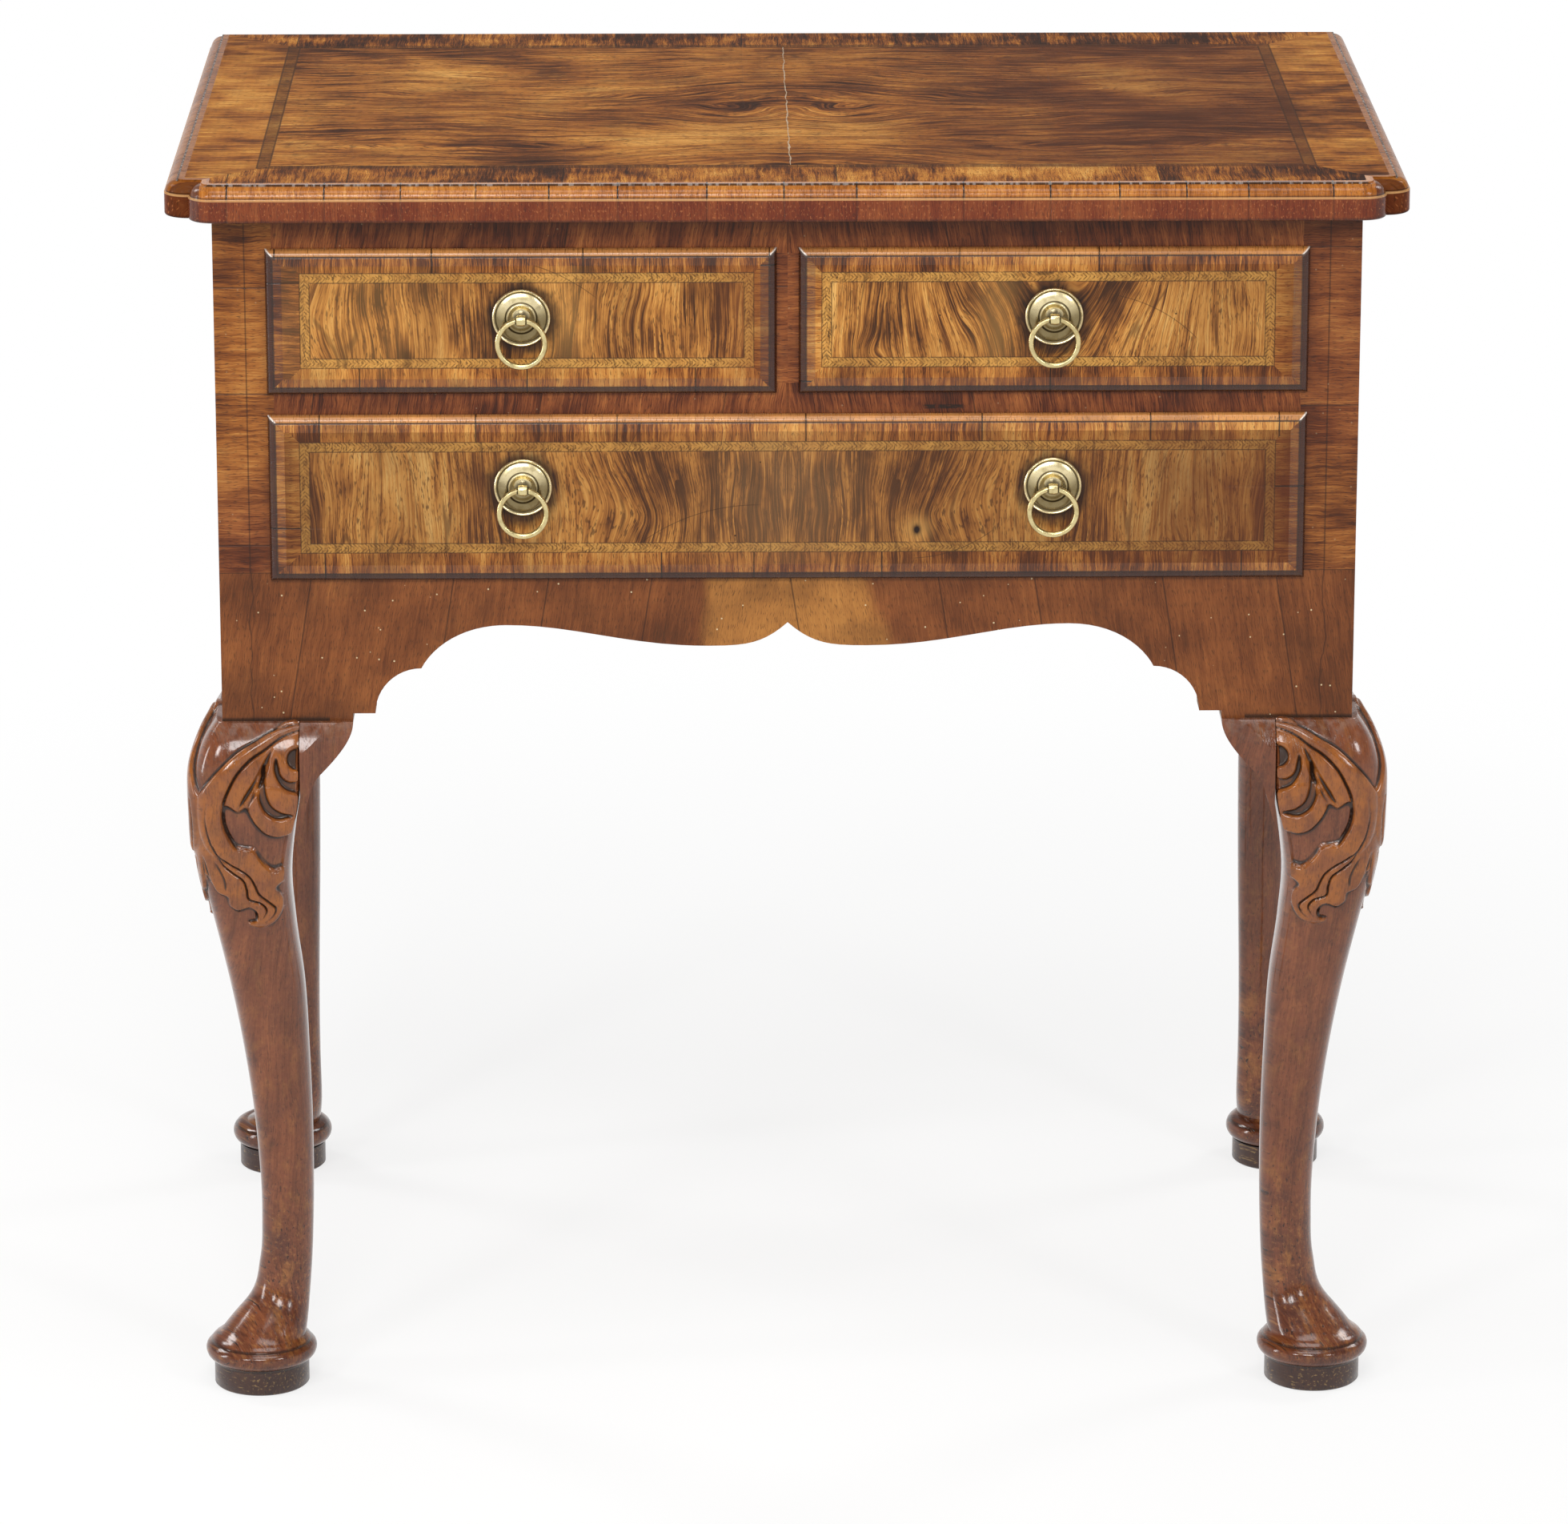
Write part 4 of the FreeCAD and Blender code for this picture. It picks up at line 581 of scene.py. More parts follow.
def case_walnut(name, seed):
    material, x, y, z = start_finish(name)
    side, right = abs(x), x > 0
    front = y < CASE_FRONT_Y + 0.6
    outer = side > CASE_HALF_WIDTH - VENEER_DEPTH
    apron = z < APRON_TOP_Z
    beside = side > OPENING_HALF_WIDTH - 0.2
    stile = beside * (1 - apron)
    level = stile | (side < DIVIDER_HALF_WIDTH) * (z > DIVIDER_LOW_Z) * (z < DIVIDER_HIGH_Z)
    slant = x + z * 0.16 * (x / (side | 1))
    piece = right + level * 2 + apron * 4
    tone, pores, joint = cross_grain(level.pick(slant, z), level.pick(z, x), piece, seed, 75, 0.85)
    cloudy = slant.noise(z, 60, 50, seed + 27, 3, 0.6) - 0.5
    tone = (tone - 0.5) * (1 - apron * 0.45) + 0.5 + cloudy * apron * 0.30
    golden = ramp(tone, GOLDEN_TONES)
    low_gold = right * z.ease(GOLD_LOW_Z - 32, GOLD_LOW_Z) * z.ease(GOLD_HIGH_Z, GOLD_HIGH_Z - 38)
    gold = stile * (z.ease(GOLD_LOW_Z, GOLD_HIGH_Z) * (x < 0) * 0.75 + low_gold * 0.55)
    chip = x.line(CHIP_X, 9.5, 13) * z.line(CHIP_Z, 0.7, 1.7) * x.noise(z, 4, 2, seed + 25).ease(0.30, 0.46)
    # The apron and the stiles are made darker, the right stile most.
    apron_stile_darkening = (apron | stile) * (right * stile * 0.5 + 0.7)
    spread = side + (x.noise(z, 40, 60, seed + 21, 1) - 0.5) * 60
    patch = spread.ease(56, 42) * apron * 0.85
    drift = (x.noise(z, 90, 26, seed + 33) - 0.5) * 9
    seam = (side + drift * apron).line(SIDE_INNER_X, 0.2, 0.6) * (1 - apron * 0.15)
    # Painted shade in the crease where the knees meet the bottom of the apron.
    knee_seat_shade = apron * (side > LEG_SEAT_X) * (z + drift * 0.35).ease(CASE_BOTTOM_Z + 3.4, CASE_BOTTOM_Z + 1)
    edge = z.line(APRON_TOP_Z, 0.15, 0.5) * beside
    # Painted shadow under the overhang of the top moulding, on the front and on the sides.
    shadow_under_moulding = z.ease(TOP_Z - 34, TOP_Z - 21)
    specks = worm_holes(x, y, z, 7, 0.55, seed) * (apron * 0.8 + 0.2)
    face = lay(ramp(tone, FRAME_TONES), (gold, golden), (patch, golden), (patch * 0.35, "#D29850"),
               (pores * 0.6, "#2A1509"), (old_dirt(x, y, z, seed) * 0.40, "#3E1B0C"),
               (apron_stile_darkening * 0.22, "#3A1B0B"), (apron * 0.12, "#7C5528"), (joint * 0.6, "#1E1009"),
               (seam * 0.6, "#2A170C"), (edge * 0.6, "#2A170C"), (shadow_under_moulding * 0.75, "#160C07"),
               (chip * 0.85, "#1A1510"), (knee_seat_shade * 0.8, "#241C16"), (specks, "#C8B48E"))
    matched = abs(y)
    eyes = [(-10, 610, 46, 62, 2.2), (150, 470, -26, 70, 2.4)]
    rings = walnut_rings(matched, z, seed + 50, eyes, 12)
    side_tone, side_pores = walnut_tone(matched, rings, z, seed + 50, 44, 3.6, 320, SOFT)
    side_tone = (side_tone - 0.5) * 0.9 + matched.noise(z, 90, 140, seed + 58) * 0.3 + 0.34
    panel = lay(ramp(side_tone, CROSSBAND_TONES), (side_pores * 0.5, "#3A2211"), (shadow_under_moulding * 0.6, "#1E1009"),
                (matched.ease(0.4, 0.12) * 0.7, "#2A170C"), (0.15, "#6A3A18"))
    shown = front | outer
    tint = lay(raw_pine(y + x, z, seed), (outer, panel), (front, face))
    height = (tone * 0.4 - pores * 0.5 - joint * 1.2 - seam) * shown
    roughness = shown.pick(BARE_ROUGHNESS, tone * -0.1 + 0.42)
    return varnish(material, tint, height, 0.10, roughness, specular=0.25)


dress(case_walnut("case_walnut_veneer", 60), "case_side_left", "case_side_right", "front_stile_left",
      "front_stile_right", "top_rail", "middle_rail", "drawer_divider", "apron")
print("case veneered")

# %% [markdown]
# ## The top
# The top is the show piece: four leaves from one log, book-matched about the middle seam and
# laid with their grain from side to side. The swirls stand in mirrored pairs. The crossband is
# wide at the two ends and narrow along the front and back.

# %% Veneer for the top
TOP_FIELD_X = 300.5
TOP_FIELD_FRONT = -175.7
TOP_FIELD_BACK = 188.8
TOP_BAND = 7.0
TOP_EYES = [(-44, 34, 30, 40, 0.9), (70, 10, -30, 50, 1.4), (-150, 0, -30, 46, 1.8), (24, 130, 18, 44, 1.8),
            (-60, 240, -16, 50, 1.6)]
LOBE_X = 334.0
LOBE_Y = 211.0
ARRIS_X = 347.6
ARRIS_Y = 224.1
MATCH_X = 2.0


def arris_wear_and_glint(x, y, arris, seed):
    """Two coats for a sharp edge: dark with dirt, and in places a light line that is partly wear and partly a
    painted highlight.
    """
    worn_glint = x.noise(y, 3, 3, seed + 6).ease(0.50, 0.60)
    return (arris * 0.85, "#2A190E"), (arris * worn_glint * 0.45, "#BDB3AB")


def top_walnut(name, seed):
    centre = (0, (TOP_FIELD_FRONT + TOP_FIELD_BACK) / 2)
    half = (TOP_FIELD_X + TOP_BAND / 2, (TOP_FIELD_BACK - TOP_FIELD_FRONT + TOP_BAND) / 2)
    material, x, y, z = start_finish(name)
    beyond, on_side, strip, run, depth = band_layout(x, y, centre, half)
    matched = abs(x - MATCH_X)
    rings = walnut_rings(y, matched, seed, TOP_EYES, 18)
    tone, pores = walnut_tone(y, rings, matched, seed, 40, 3.4, 170, SOFT)
    mottle = x.noise(y, 120, 130, seed + 70) - 0.5
    fleck = x.noise(y, 16, 5, seed + 71, 2, 0.6).ease(0.60, 0.74)
    tone = tone + mottle * 0.62 - fleck * 0.05 - (x.ease(-60, 120) - 0.5) * 0.05
    pores = pores | y.noise(x, 1.7, 5.5, seed + 72, 1).ease(0.61, 0.68) * 0.8
    edge_tone, edge_pores, joint = cross_grain(run, depth, strip, seed + 40, 105, 0.85)
    edge_tone = edge_tone + mottle * 0.40 + on_side * x.ease(20, -20) * 0.06
    edge = ramp(edge_tone - 0.005, TOP_TONES)
    inside = beyond + TOP_BAND
    in_band, barbs, line = featherband(run, inside, TOP_BAND, seed + 43, 0.3, 0.7)
    feathered = lay(edge, (0.50, "#46290F"), (barbs * 0.5, "#2E1A0A"))
    ragged = x - MATCH_X + (x.noise(y, 3, 16, seed + 3) - 0.5) * 3
    seam = ragged.line(0, 0.15, 0.5) * (inside < 0) * y.noise(x, 12, 40, seed + 5).ease(0.30, 0.46)
    arris = abs(x).line(ARRIS_X, 0.3, 1.1) | y.line(-ARRIS_Y, 0.3, 1.1)
    face = lay(ramp(tone, TOP_TONES), (beyond.ease(-0.05, 0.05), edge), (in_band, feathered),
               ((beyond > 0).pick(pores, edge_pores) * 0.75, "#24130A"),
               (x.ease(40, 190) * 0.38 * (beyond < 0), "#5A2C12"),
               (old_dirt(x, z, y, seed) * 0.35, "#3A2110"), (joint * (beyond > 0) * 0.8, "#20110A"),
               (line * 0.75, "#3A2210"), (seam * 0.8, "#B5A48C"), *arris_wear_and_glint(x, y, arris, seed))
    upper = z > TOP_Z - 0.3
    tint = lay(raw_pine(y + z, x, seed), (upper, face))
    height = tone * 0.3 - pores * 0.4 - joint * 1.2 - line * 0.8 - seam * 1.5
    roughness = upper.pick(BARE_ROUGHNESS, tone * -0.1 + 0.46)
    return varnish(material, tint, height, 0.10, roughness, specular=0.012)


dress(top_walnut("book_matched_top_veneer", 80), "top_panel")
print("top veneered")

# %% [markdown]
# ## The moulded edge of the top
# The edge is built of short walnut blocks glued side by side with their grain across the
# moulding, then planed to a quarter round over a flat fascia. The wood has shrunk along the
# run, so nearly every glue joint has opened to a dark crack.

# %% Cross-grained moulding
QUIRK_Z, FILLET_Z, FASCIA_Z, FOOT_Z = (TOP_Z - drop for drop in (7.0, 7.9, 8.1, 19.5))


def moulding_walnut(name, along_y, seed):
    material, x, y, z = start_finish(name)
    if along_y:
        run, strip, outward, arris_place, specular = y, x > 0, abs(x), ARRIS_X, 0.03
    else:
        run, strip, outward, arris_place, specular = x, 0, y * -1, ARRIS_Y, 0.32
    depth = z * 1.2 + (outward if along_y else y)
    tone, pores, joint = cross_grain(run, depth, strip, seed, 46, 0.8)
    fascia = z.ease(FASCIA_Z + 0.5, FASCIA_Z - 0.5)
    # The quirk groove, painted darker as shade.
    quirk = z.line(QUIRK_Z, 0.2, 0.7)
    # A light line along the fillet: a painted highlight.
    fillet_highlight = z.line(FILLET_Z, 0.3, 0.8)
    arris = outward.line(arris_place, 0.3, 1.2) * (z > TOP_Z - 1.2)
    lobe = (abs(x) > LOBE_X) * (y < -LOBE_Y)
    fleck = run.noise(depth, 1.2, 2.6, seed + 15).ease(0.58, 0.70)
    tint = lay(ramp(tone, GOLDEN_TONES), (0.34, "#A25C12"), (lobe * 0.6, "#5C2A1A"),
               (fascia, ramp(tone, FRAME_TONES)), (fascia * 0.55, "#6C2404"), (lobe * 0.5, "#3C1B12"),
               # The side mouldings are painted darker all over as shade.
               (0.4 if along_y else 0, "#58301A"), (fleck * fascia * 0.5, "#B06A3A"),
               (pores * 0.5, "#321B0D"), (joint * (1 - fascia * 0.75), "#1C0F08"),
               (quirk * 0.6, "#2A150A"), (fillet_highlight * 0.6, "#D8A870"), *arris_wear_and_glint(x, y, arris, seed),
               # Painted shade along the foot of the fascia.
               (fascia * z.ease(FOOT_Z + 1, FOOT_Z - 1) * 0.5, "#1A0E08"))
    height = tone * 0.4 - pores * 0.5 - joint * 2.2 - quirk
    return varnish(material, tint, height, 0.14, tone * -0.1 + 0.25, specular=specular)


dress(moulding_walnut("cross_grained_moulding_front", False, 91), "top_moulding_front")
dress(moulding_walnut("cross_grained_moulding_side", True, 95), "top_moulding_left", "top_moulding_right")
print("mouldings done")

# %% [markdown]
# ## Solid walnut for the legs
# The legs, brackets and feet are cut from solid walnut, waxed for three centuries. The carved
# hollows are darker, partly with wax and dust and partly with painted shade, and hands and
# dusters have worn the high places back to a warm gold. The carving stores how hollow each spot
# is in an attribute, and the finish reads it; a plain piece has no such attribute and gets the
# plain wood.

# %% Waxed solid walnut
LEG_TONES = [(0.28, "#3A1C0E"), (0.42, "#5B2F18"), (0.54, "#764126"), (0.68, "#8E5430"), (0.84, "#A56B3E")]
FOOT_JOINT_Z = 27.4
FOOT_UNDERCUT_Z = 15.2


def waxed_walnut(name, seed):
    material, x, y, z = start_finish(name)
    across = x + y * 0.6
    rings = walnut_rings(across, z, seed, (), 9)
    tone, pores = walnut_tone(across, rings, z, seed, 22, 4, 170, QUIET)
    hollow, carved = (Number(x.tree, add(x.tree, "ShaderNodeAttribute", attribute_name=kind).outputs["Fac"])
                      for kind in ("hollow", "carved"))
    # The disc below the ring, painted darker as shade under the ring's overhang.
    foot = z.ease(18, 12)
    worn = (x + y).noise(z, 2.4, 1.8, seed + 60, 3, 0.7).ease(0.56, 0.66) * foot
    ankle = 1 - z.ease(60, 190) * 0.6
    wax = across.noise(z, 14, 26, seed + 62, 3, 0.6).ease(0.44, 0.66)
    bare = across.noise(z, 9, 20, seed + 64, 3, 0.6).ease(0.50, 0.68)
    pits = across.noise(z, 1.3, 3.6, seed + 68).ease(0.62, 0.68) * ankle
    speckle = across.noise(z, 2.4, 3, seed + 74, 3, 0.7)
    low = 1 - z.ease(40, 150) * 0.75
    gold = x.noise(z, 9, 12, seed + 66).ease(0.36, 0.66)
    # Grey dust just below the case, which also stands for a painted sheen on the waxed top of the knee.
    dust_and_sheen = z.ease(CASE_BOTTOM_Z - 16, CASE_BOTTOM_Z + 0.2) * (1 - (z > CASE_BOTTOM_Z + 0.5)) \
        * x.noise(z, 5, 5, seed + 71, 3).ease(0.40, 0.62)
    # Painted light on the legs: the carved hollows are darker, partly wax and dust and partly painted shade,
    # and the foot's groove, its undercut and the disc below its ring are painted darker as shade.
    tint = lay(ramp(tone, LEG_TONES), (wax * ankle * 0.60, "#43231D"), (bare * ankle * 0.55, "#94602E"),
               (carved * (gold * 0.55 + 0.28), "#98581F"), (pores * 0.35, "#2A150B"),
               (speckle.ease(0.52, 0.66) * low * 0.5, "#2C150D"),
               (speckle.ease(0.46, 0.34) * low * 0.4, "#A87440"),
               (z.ease(28, 25.5) * 0.25, "#371A15"), (pits * 0.8, "#1C0F09"),
               # Painted shade, with some dirt, in the groove where the foot meets its ring and in the
               # undercut below the ring.
               (z.line(FOOT_JOINT_Z, 0.3, 1.3) * 0.7, "#20120C"),
               (z.line(FOOT_UNDERCUT_Z, 0.6, 2.2) * 0.8, "#1A0F0B"),
               (hollow.ease(0.12, 0.62) * 0.92, "#1E110A"), (foot * 0.8, "#2C1D1A"), (worn * 0.7, "#96784A"),
               (dust_and_sheen * 0.2, "#8A7C72"), (worm_holes(x, y, z, 15, 0.35, seed), "#150B06"))
    height = tone * 0.3 - pores * 0.4 - pits * 1.5 + wax * 0.4 - speckle * low * 1.2
    roughness = tone * -0.12 + hollow * 0.3 + foot * 0.2 + dust_and_sheen * 0.15 + 0.20
    return varnish(material, tint, height, 0.08, roughness, specular=0.36, coat=0.28, coat_roughness=0.1)


leg_finish = waxed_walnut("waxed_solid_walnut", 110)
dress(leg_finish, *(node for node in nodes if node.startswith(("knee_bracket", "rear_leg", "front_leg"))))
print("solid walnut done")

# %% [markdown]
# ## Brass and steel
# The pulls are cast brass, filed, polished once and since left to tarnish: pale greenish gold
# where fingers rub, brown in the rings of the dished plate. The lower half and sides of each dish
# are darker, partly tarnish and partly a painted dark reflection, and painted shade darkens the
# middle round the post and the gaps at the ends of the eye. Brass is a metal, so the colour
# goes into the reflection and the index of refraction stays at its default.

# %% Tarnished brass and dull steel
PLATE_BEAD = 14.8
PLATE_DISH = 14.6
PLATE_BOSS = 8.9
PLATE_FRONT = 8.2   # how far the plates stand out from the case
PULL_REACH = 30.0
EYE_HALF_LENGTH = 3.0
EYE_HALF_HEIGHT = 3.4


def tarnished_brass(name):
    material, x, y, z = start_finish(name)
    radius, above, aside, gap = 1000, 0, 0, 0
    for handle_x, handle_z in handle_centres.values():
        far = distance(x, z, (handle_x, handle_z))
        here = far < PULL_REACH
        beside = abs(x - handle_x).line(EYE_HALF_LENGTH, 0.2, 0.6)
        above = (z - handle_z) * here + above
        aside = abs(x - handle_x + 1.5) * here + aside
        # The gaps at the ends of the eye, painted dark as shade.
        gap = beside * here * (abs(z - handle_z) < EYE_HALF_HEIGHT) + gap
        radius = far.math("MINIMUM", radius)
    on_plate = y > CASE_FRONT_Y - PLATE_FRONT
    grooves = radius.line(PLATE_BEAD, 0.2, 0.8) | radius.line(PLATE_BOSS, 0.2, 0.9)
    smudge = x.noise(z, 5, 5, 3, 3)
    speck = x.noise(z, 0.8, 0.8, 9).ease(0.62, 0.72)
    # The lower half and the sides of each dish: partly tarnish, partly a painted dark reflection.
    tarnish_and_dark_reflection = (above - aside * 0.55 + (smudge - 0.5) * 14).ease(5, -9) * on_plate * (radius < PLATE_DISH)
    # Painted shade darkens the middle of each plate round the post.
    tint = lay("#DCCB96", (on_plate, "#F2E1B2"), (smudge.ease(0.44, 0.66) * 0.5, "#AE9A68"),
               (tarnish_and_dark_reflection * 0.84, "#655330"), (radius.ease(5.6, 3.4) * on_plate * 0.8, "#33271A"),
               (grooves * on_plate * 0.85, "#3E3019"), (gap * (1 - on_plate) * 0.9, "#2A2012"),
               (speck * 0.4, "#6A5833"))
    return varnish(material, tint, smudge, 0.003, smudge * 0.16 + grooves * 0.25 + 0.2, metallic=1)


def dull_steel(name):
    material, x, y, z = start_finish(name)
    rust = x.noise(y + z, 2, 2, 5, 3)
    tint = lay("#6E6A66", (rust.ease(0.5, 0.7), "#4A2F22"))
    return varnish(material, tint, rust, 0.1, rust * 0.4 + 0.3, metallic=1)


brass = tarnished_brass("tarnished_cast_brass")
steel = dull_steel("dull_wrought_steel")
dress(steel, "top_screws")
for name in nodes:
    if name.endswith(("_backplate", "_post", "_ring")):
        dress(brass, name)
    elif name.endswith(("_side_left", "_side_right", "_bottom", "_back")) and "drawer" in name:
        dress(oak[longest_axis(name)], name)
for name in ("back_board_lower", "back_board_upper", "glue_blocks", "kickers", "drawer_guides",
             "centre_runner", "lower_runners", "upper_runners"):
    dress(pine[longest_axis(name)], name)
print("metals and inside timbers assigned")

# %% [markdown]
# ## The ring pulls
# Each pull is three castings finished on a lathe: a dished round plate with a beaded rim and a
# raised ring round its boss, a post with a barrel eye, and a ring of round wire through the eye.
# A lathe makes them true, so here each is an outline of radius and length spun around an axis.
# The post runs through the drawer front to a square nut inside, as the real one does.

# %% Turn the ring pulls
PLATE_OUTLINE = [(2.3, 0), (16.4, 0), (16.8, -0.5), (16.8, -1.1), (16.5, -1.8), (15.9, -2.15), (15.3, -1.9),
                 (14.9, -1.25), (14.6, -1.15), (14.2, -1.35), (13.3, -1.85), (12.2, -2.25), (11, -2.5),
                 (9.9, -2.6), (9.2, -2.5), (8.9, -2.15), (8.6, -2.25), (8.2, -2.75), (7.7, -2.9),
                 (7.2, -2.7), (6.2, -2.15), (5.2, -2), (4.2, -2.25), (3.2, -2.85), (2.3, -3)]
EYE_OUTLINE = [(2, -2.5), (2.5, -2.7), (2.95, -2.45), (3.1, -1.2), (3.15, 0), (3.1, 1.2), (2.95, 2.45),
               (2.5, 2.7), (2, 2.5)]
SHANK_OUTLINE = [(2.2, -6.4), (2.2, 25.4), (1.6, 26)]
NUT_OUTLINE = [(2.3, 21), (6, 21), (6.36, 21.4), (6.36, 23.6), (6, 24), (2.3, 24)]
POST_REACH = 8.6
RING_RADIUS = 13.55
WIRE_RADIUS = 1.6


def turned(outline, centre, axis, segments, bored=True, start=0):
    """Points and faces of an outline of (radius, length) spun around axis 0 or 1 through a centre."""
    points, faces = [], []
    count = len(outline)
    for step in range(segments):
        angle = start + 2 * math.pi * step / segments
        for radius, length in outline:
            sideways, upwards = radius * math.cos(angle), radius * math.sin(angle)
            offset = (sideways, length, upwards) if axis == 1 else (length, sideways, upwards)
            points.append(tuple((c + o) * MM for c, o in zip(centre, offset)))
        first, second = step * count, (step + 1) % segments * count
        for place in range(count if bored else count - 1):
            after = (place + 1) % count
            faces.append((first + place, first + after, second + after, second + place))
    if not bored:
        for end in (0, count - 1):
            faces.append(tuple(step * count + end for step in range(segments)))
    return points, faces


def make_piece(name, shells, material, body, sharp=40):
    """One object from closed shells of points and faces, riding on a body."""
    points, faces = [], []
    for shell_points, shell_faces in shells:
        faces += [tuple(corner + len(points) for corner in face) for face in shell_faces]
        points += shell_points
    mesh = bpy.data.meshes.new(name)
    mesh.from_pydata(points, [], faces)
    mesh.materials.append(material)
    shell = bmesh.new()
    shell.from_mesh(mesh)
    bmesh.ops.recalc_face_normals(shell, faces=shell.faces)
    shell.to_mesh(mesh)
    shell.free()
    mesh.shade_smooth()
    mesh.set_sharp_from_angle(angle=math.radians(sharp))
    piece = show(name, mesh)
    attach(piece, body)
    return piece


DRAWER_FACE_Y = box_mm("left_drawer_backplate")[1].y
wire_outline = [(RING_RADIUS + WIRE_RADIUS * math.cos(turn), WIRE_RADIUS * math.sin(turn))
                for turn in np.linspace(0, 2 * math.pi, 16, endpoint=False)]
for name, (handle_x, handle_z) in handle_centres.items():
    drawer = "long_drawer" if name.startswith("long") else name
    face = (handle_x, DRAWER_FACE_Y, handle_z)
    eye = (handle_x, DRAWER_FACE_Y - POST_REACH, handle_z)
    hang = (handle_x, DRAWER_FACE_Y - POST_REACH, handle_z - RING_RADIUS)
    plate = make_piece("turned_plate_" + name, [turned(PLATE_OUTLINE, face, 1, 72)], brass, drawer)
    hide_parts(name + "_backplate")
    post_shells = [turned(EYE_OUTLINE, eye, 0, 32), turned(SHANK_OUTLINE, face, 1, 24, False),
                   turned(NUT_OUTLINE, face, 1, 4, True, math.pi / 4)]
    post = make_piece("turned_post_" + name, post_shells, brass, drawer)
    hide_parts(name + "_post")
    ring_shells = [turned(wire_outline, hang, 1, 72)]
    ring = make_piece("turned_ring_" + name, ring_shells, brass, name + "_ring")
    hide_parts(name + "_ring")
print("ring pulls:", len(handle_centres))

# %% [markdown]
# ## Hand-made nails
# The back boards are nailed into the rebates of the sides and on to the ends of the runners, and
# each drawer bottom is nailed up into the drawer back. A smith finished each nail with four or
# five hammer blows, which left a low faceted head called a rose head. The nails follow lines, so
# a node tree places them: points along each line, a five-sided head on every point, and a small
# random turn, tilt and size for each, because no two hand-made nails match.

# %% Nails along lines


def nail_tree():
    """A tree that sets rose heads along the edges of a mesh. Returns it and its inputs by name."""
    tree = bpy.data.node_groups.new("rose_head_nails", "GeometryNodeTree")
    names = {}
    for label, kind in (("Lines", "Geometry"), ("Spacing", "Float"), ("Head radius", "Float"),
                        ("Turn", "Vector"), ("Iron", "Material")):
        socket = tree.interface.new_socket(label, in_out="INPUT", socket_type="NodeSocket" + kind)
        names[label] = socket.identifier
    tree.interface.new_socket("Nails", in_out="OUTPUT", socket_type="NodeSocketGeometry")
    given = tree.nodes.new("NodeGroupInput").outputs
    radius = Number(tree, given["Head radius"])
    node = functools.partial(add, tree)
    curve = node("GeometryNodeMeshToCurve", {"Mesh": given["Lines"]})
    points = node("GeometryNodeCurveToPoints", {"Curve": curve, "Length": given["Spacing"]}, mode="LENGTH")
    head = node("GeometryNodeMeshCone", {"Vertices": 5, "Radius Top": radius * 0.22,
                                         "Radius Bottom": radius, "Depth": radius * 0.36})
    size = node("FunctionNodeRandomValue", {"Min": 0.85, "Max": 1.15, "Seed": 4}, data_type="FLOAT")
    nails = node("GeometryNodeInstanceOnPoints", {"Points": points, "Instance": head.outputs["Mesh"],
                                                  "Rotation": given["Turn"], "Scale": size})
    tilt = node("FunctionNodeRandomValue",
                {"Min": (-0.1, -0.1, 0.0), "Max": (0.1, 0.1, 6.28), "Seed": 9}, data_type="FLOAT_VECTOR")
    tilted = node("GeometryNodeRotateInstances", {"Instances": nails, "Rotation": tilt, "Local Space": True})
    solid = node("GeometryNodeRealizeInstances", {"Geometry": tilted})
    painted = node("GeometryNodeSetMaterial", {"Geometry": solid, "Material": given["Iron"]})
    node("NodeGroupOutput", {"Nails": painted})
    return tree, names


def nail_row(name, lines, spacing, radius, turn, body):
    """Nails along lines, baked to one mesh that rides on a body."""
    mesh = bpy.data.meshes.new(name)
    ends = [tuple(c * MM for c in point) for line in lines for point in line]
    mesh.from_pydata(ends, [(place, place + 1) for place in range(0, len(ends), 2)], [])
    piece = show(name, mesh)
    maker = piece.modifiers.new("nails", "NODES")
    maker.node_group = rose_heads
    given = {"Spacing": spacing * MM, "Head radius": radius * MM, "Turn": turn, "Iron": steel}
    for label, value in given.items():
        maker[nail_inputs[label]] = value
    shown = bpy.context.evaluated_depsgraph_get()
    piece.data = bpy.data.meshes.new_from_object(piece.evaluated_get(shown))
    piece.modifiers.clear()
    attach(piece, body)
    print(name, len(piece.data.polygons), "faces")


rose_heads, nail_inputs = nail_tree()
SINK = 0.15
REBATE_WIDTH = 4.5
BOARD_MARGIN = 14.0
BOTTOM_MARGIN = 16.0
RAIL_REACH = 270.0
back_low, back_high = box_mm("back_board_lower")
back_top = box_mm("back_board_upper")[1].z
back_y = back_high.y - SINK
lines = []
for x in (REBATE_WIDTH - back_high.x, back_high.x - REBATE_WIDTH):
    for low_z, high_z in ((back_low.z, back_high.z), (back_high.z, back_top)):
        lines.append(((x, back_y, low_z + BOARD_MARGIN), (x, back_y, high_z - BOARD_MARGIN)))
for rail in ("lower_runners", "upper_runners", "kickers"):
    middle_z = field_inside(rail)[0][1]
    lines.append(((-RAIL_REACH, back_y, middle_z), (RAIL_REACH, back_y, middle_z)))
nail_row("back_board_nails", lines, 56.0, 3.8, (-math.pi / 2, 0.0, 0.0), "carcase")
for drawer in ("left_drawer", "right_drawer", "long_drawer"):
    low, high = box_mm(drawer + "_bottom")
    back_low, back_high = box_mm(drawer + "_back")
    y, z = (back_low.y + back_high.y) / 2, low.z + SINK
    row = [((low.x + BOTTOM_MARGIN, y, z), (high.x - BOTTOM_MARGIN, y, z))]
    nail_row(drawer + "_bottom_nails", row, 58.0, 3.2, (math.pi, 0.0, 0.0), drawer)

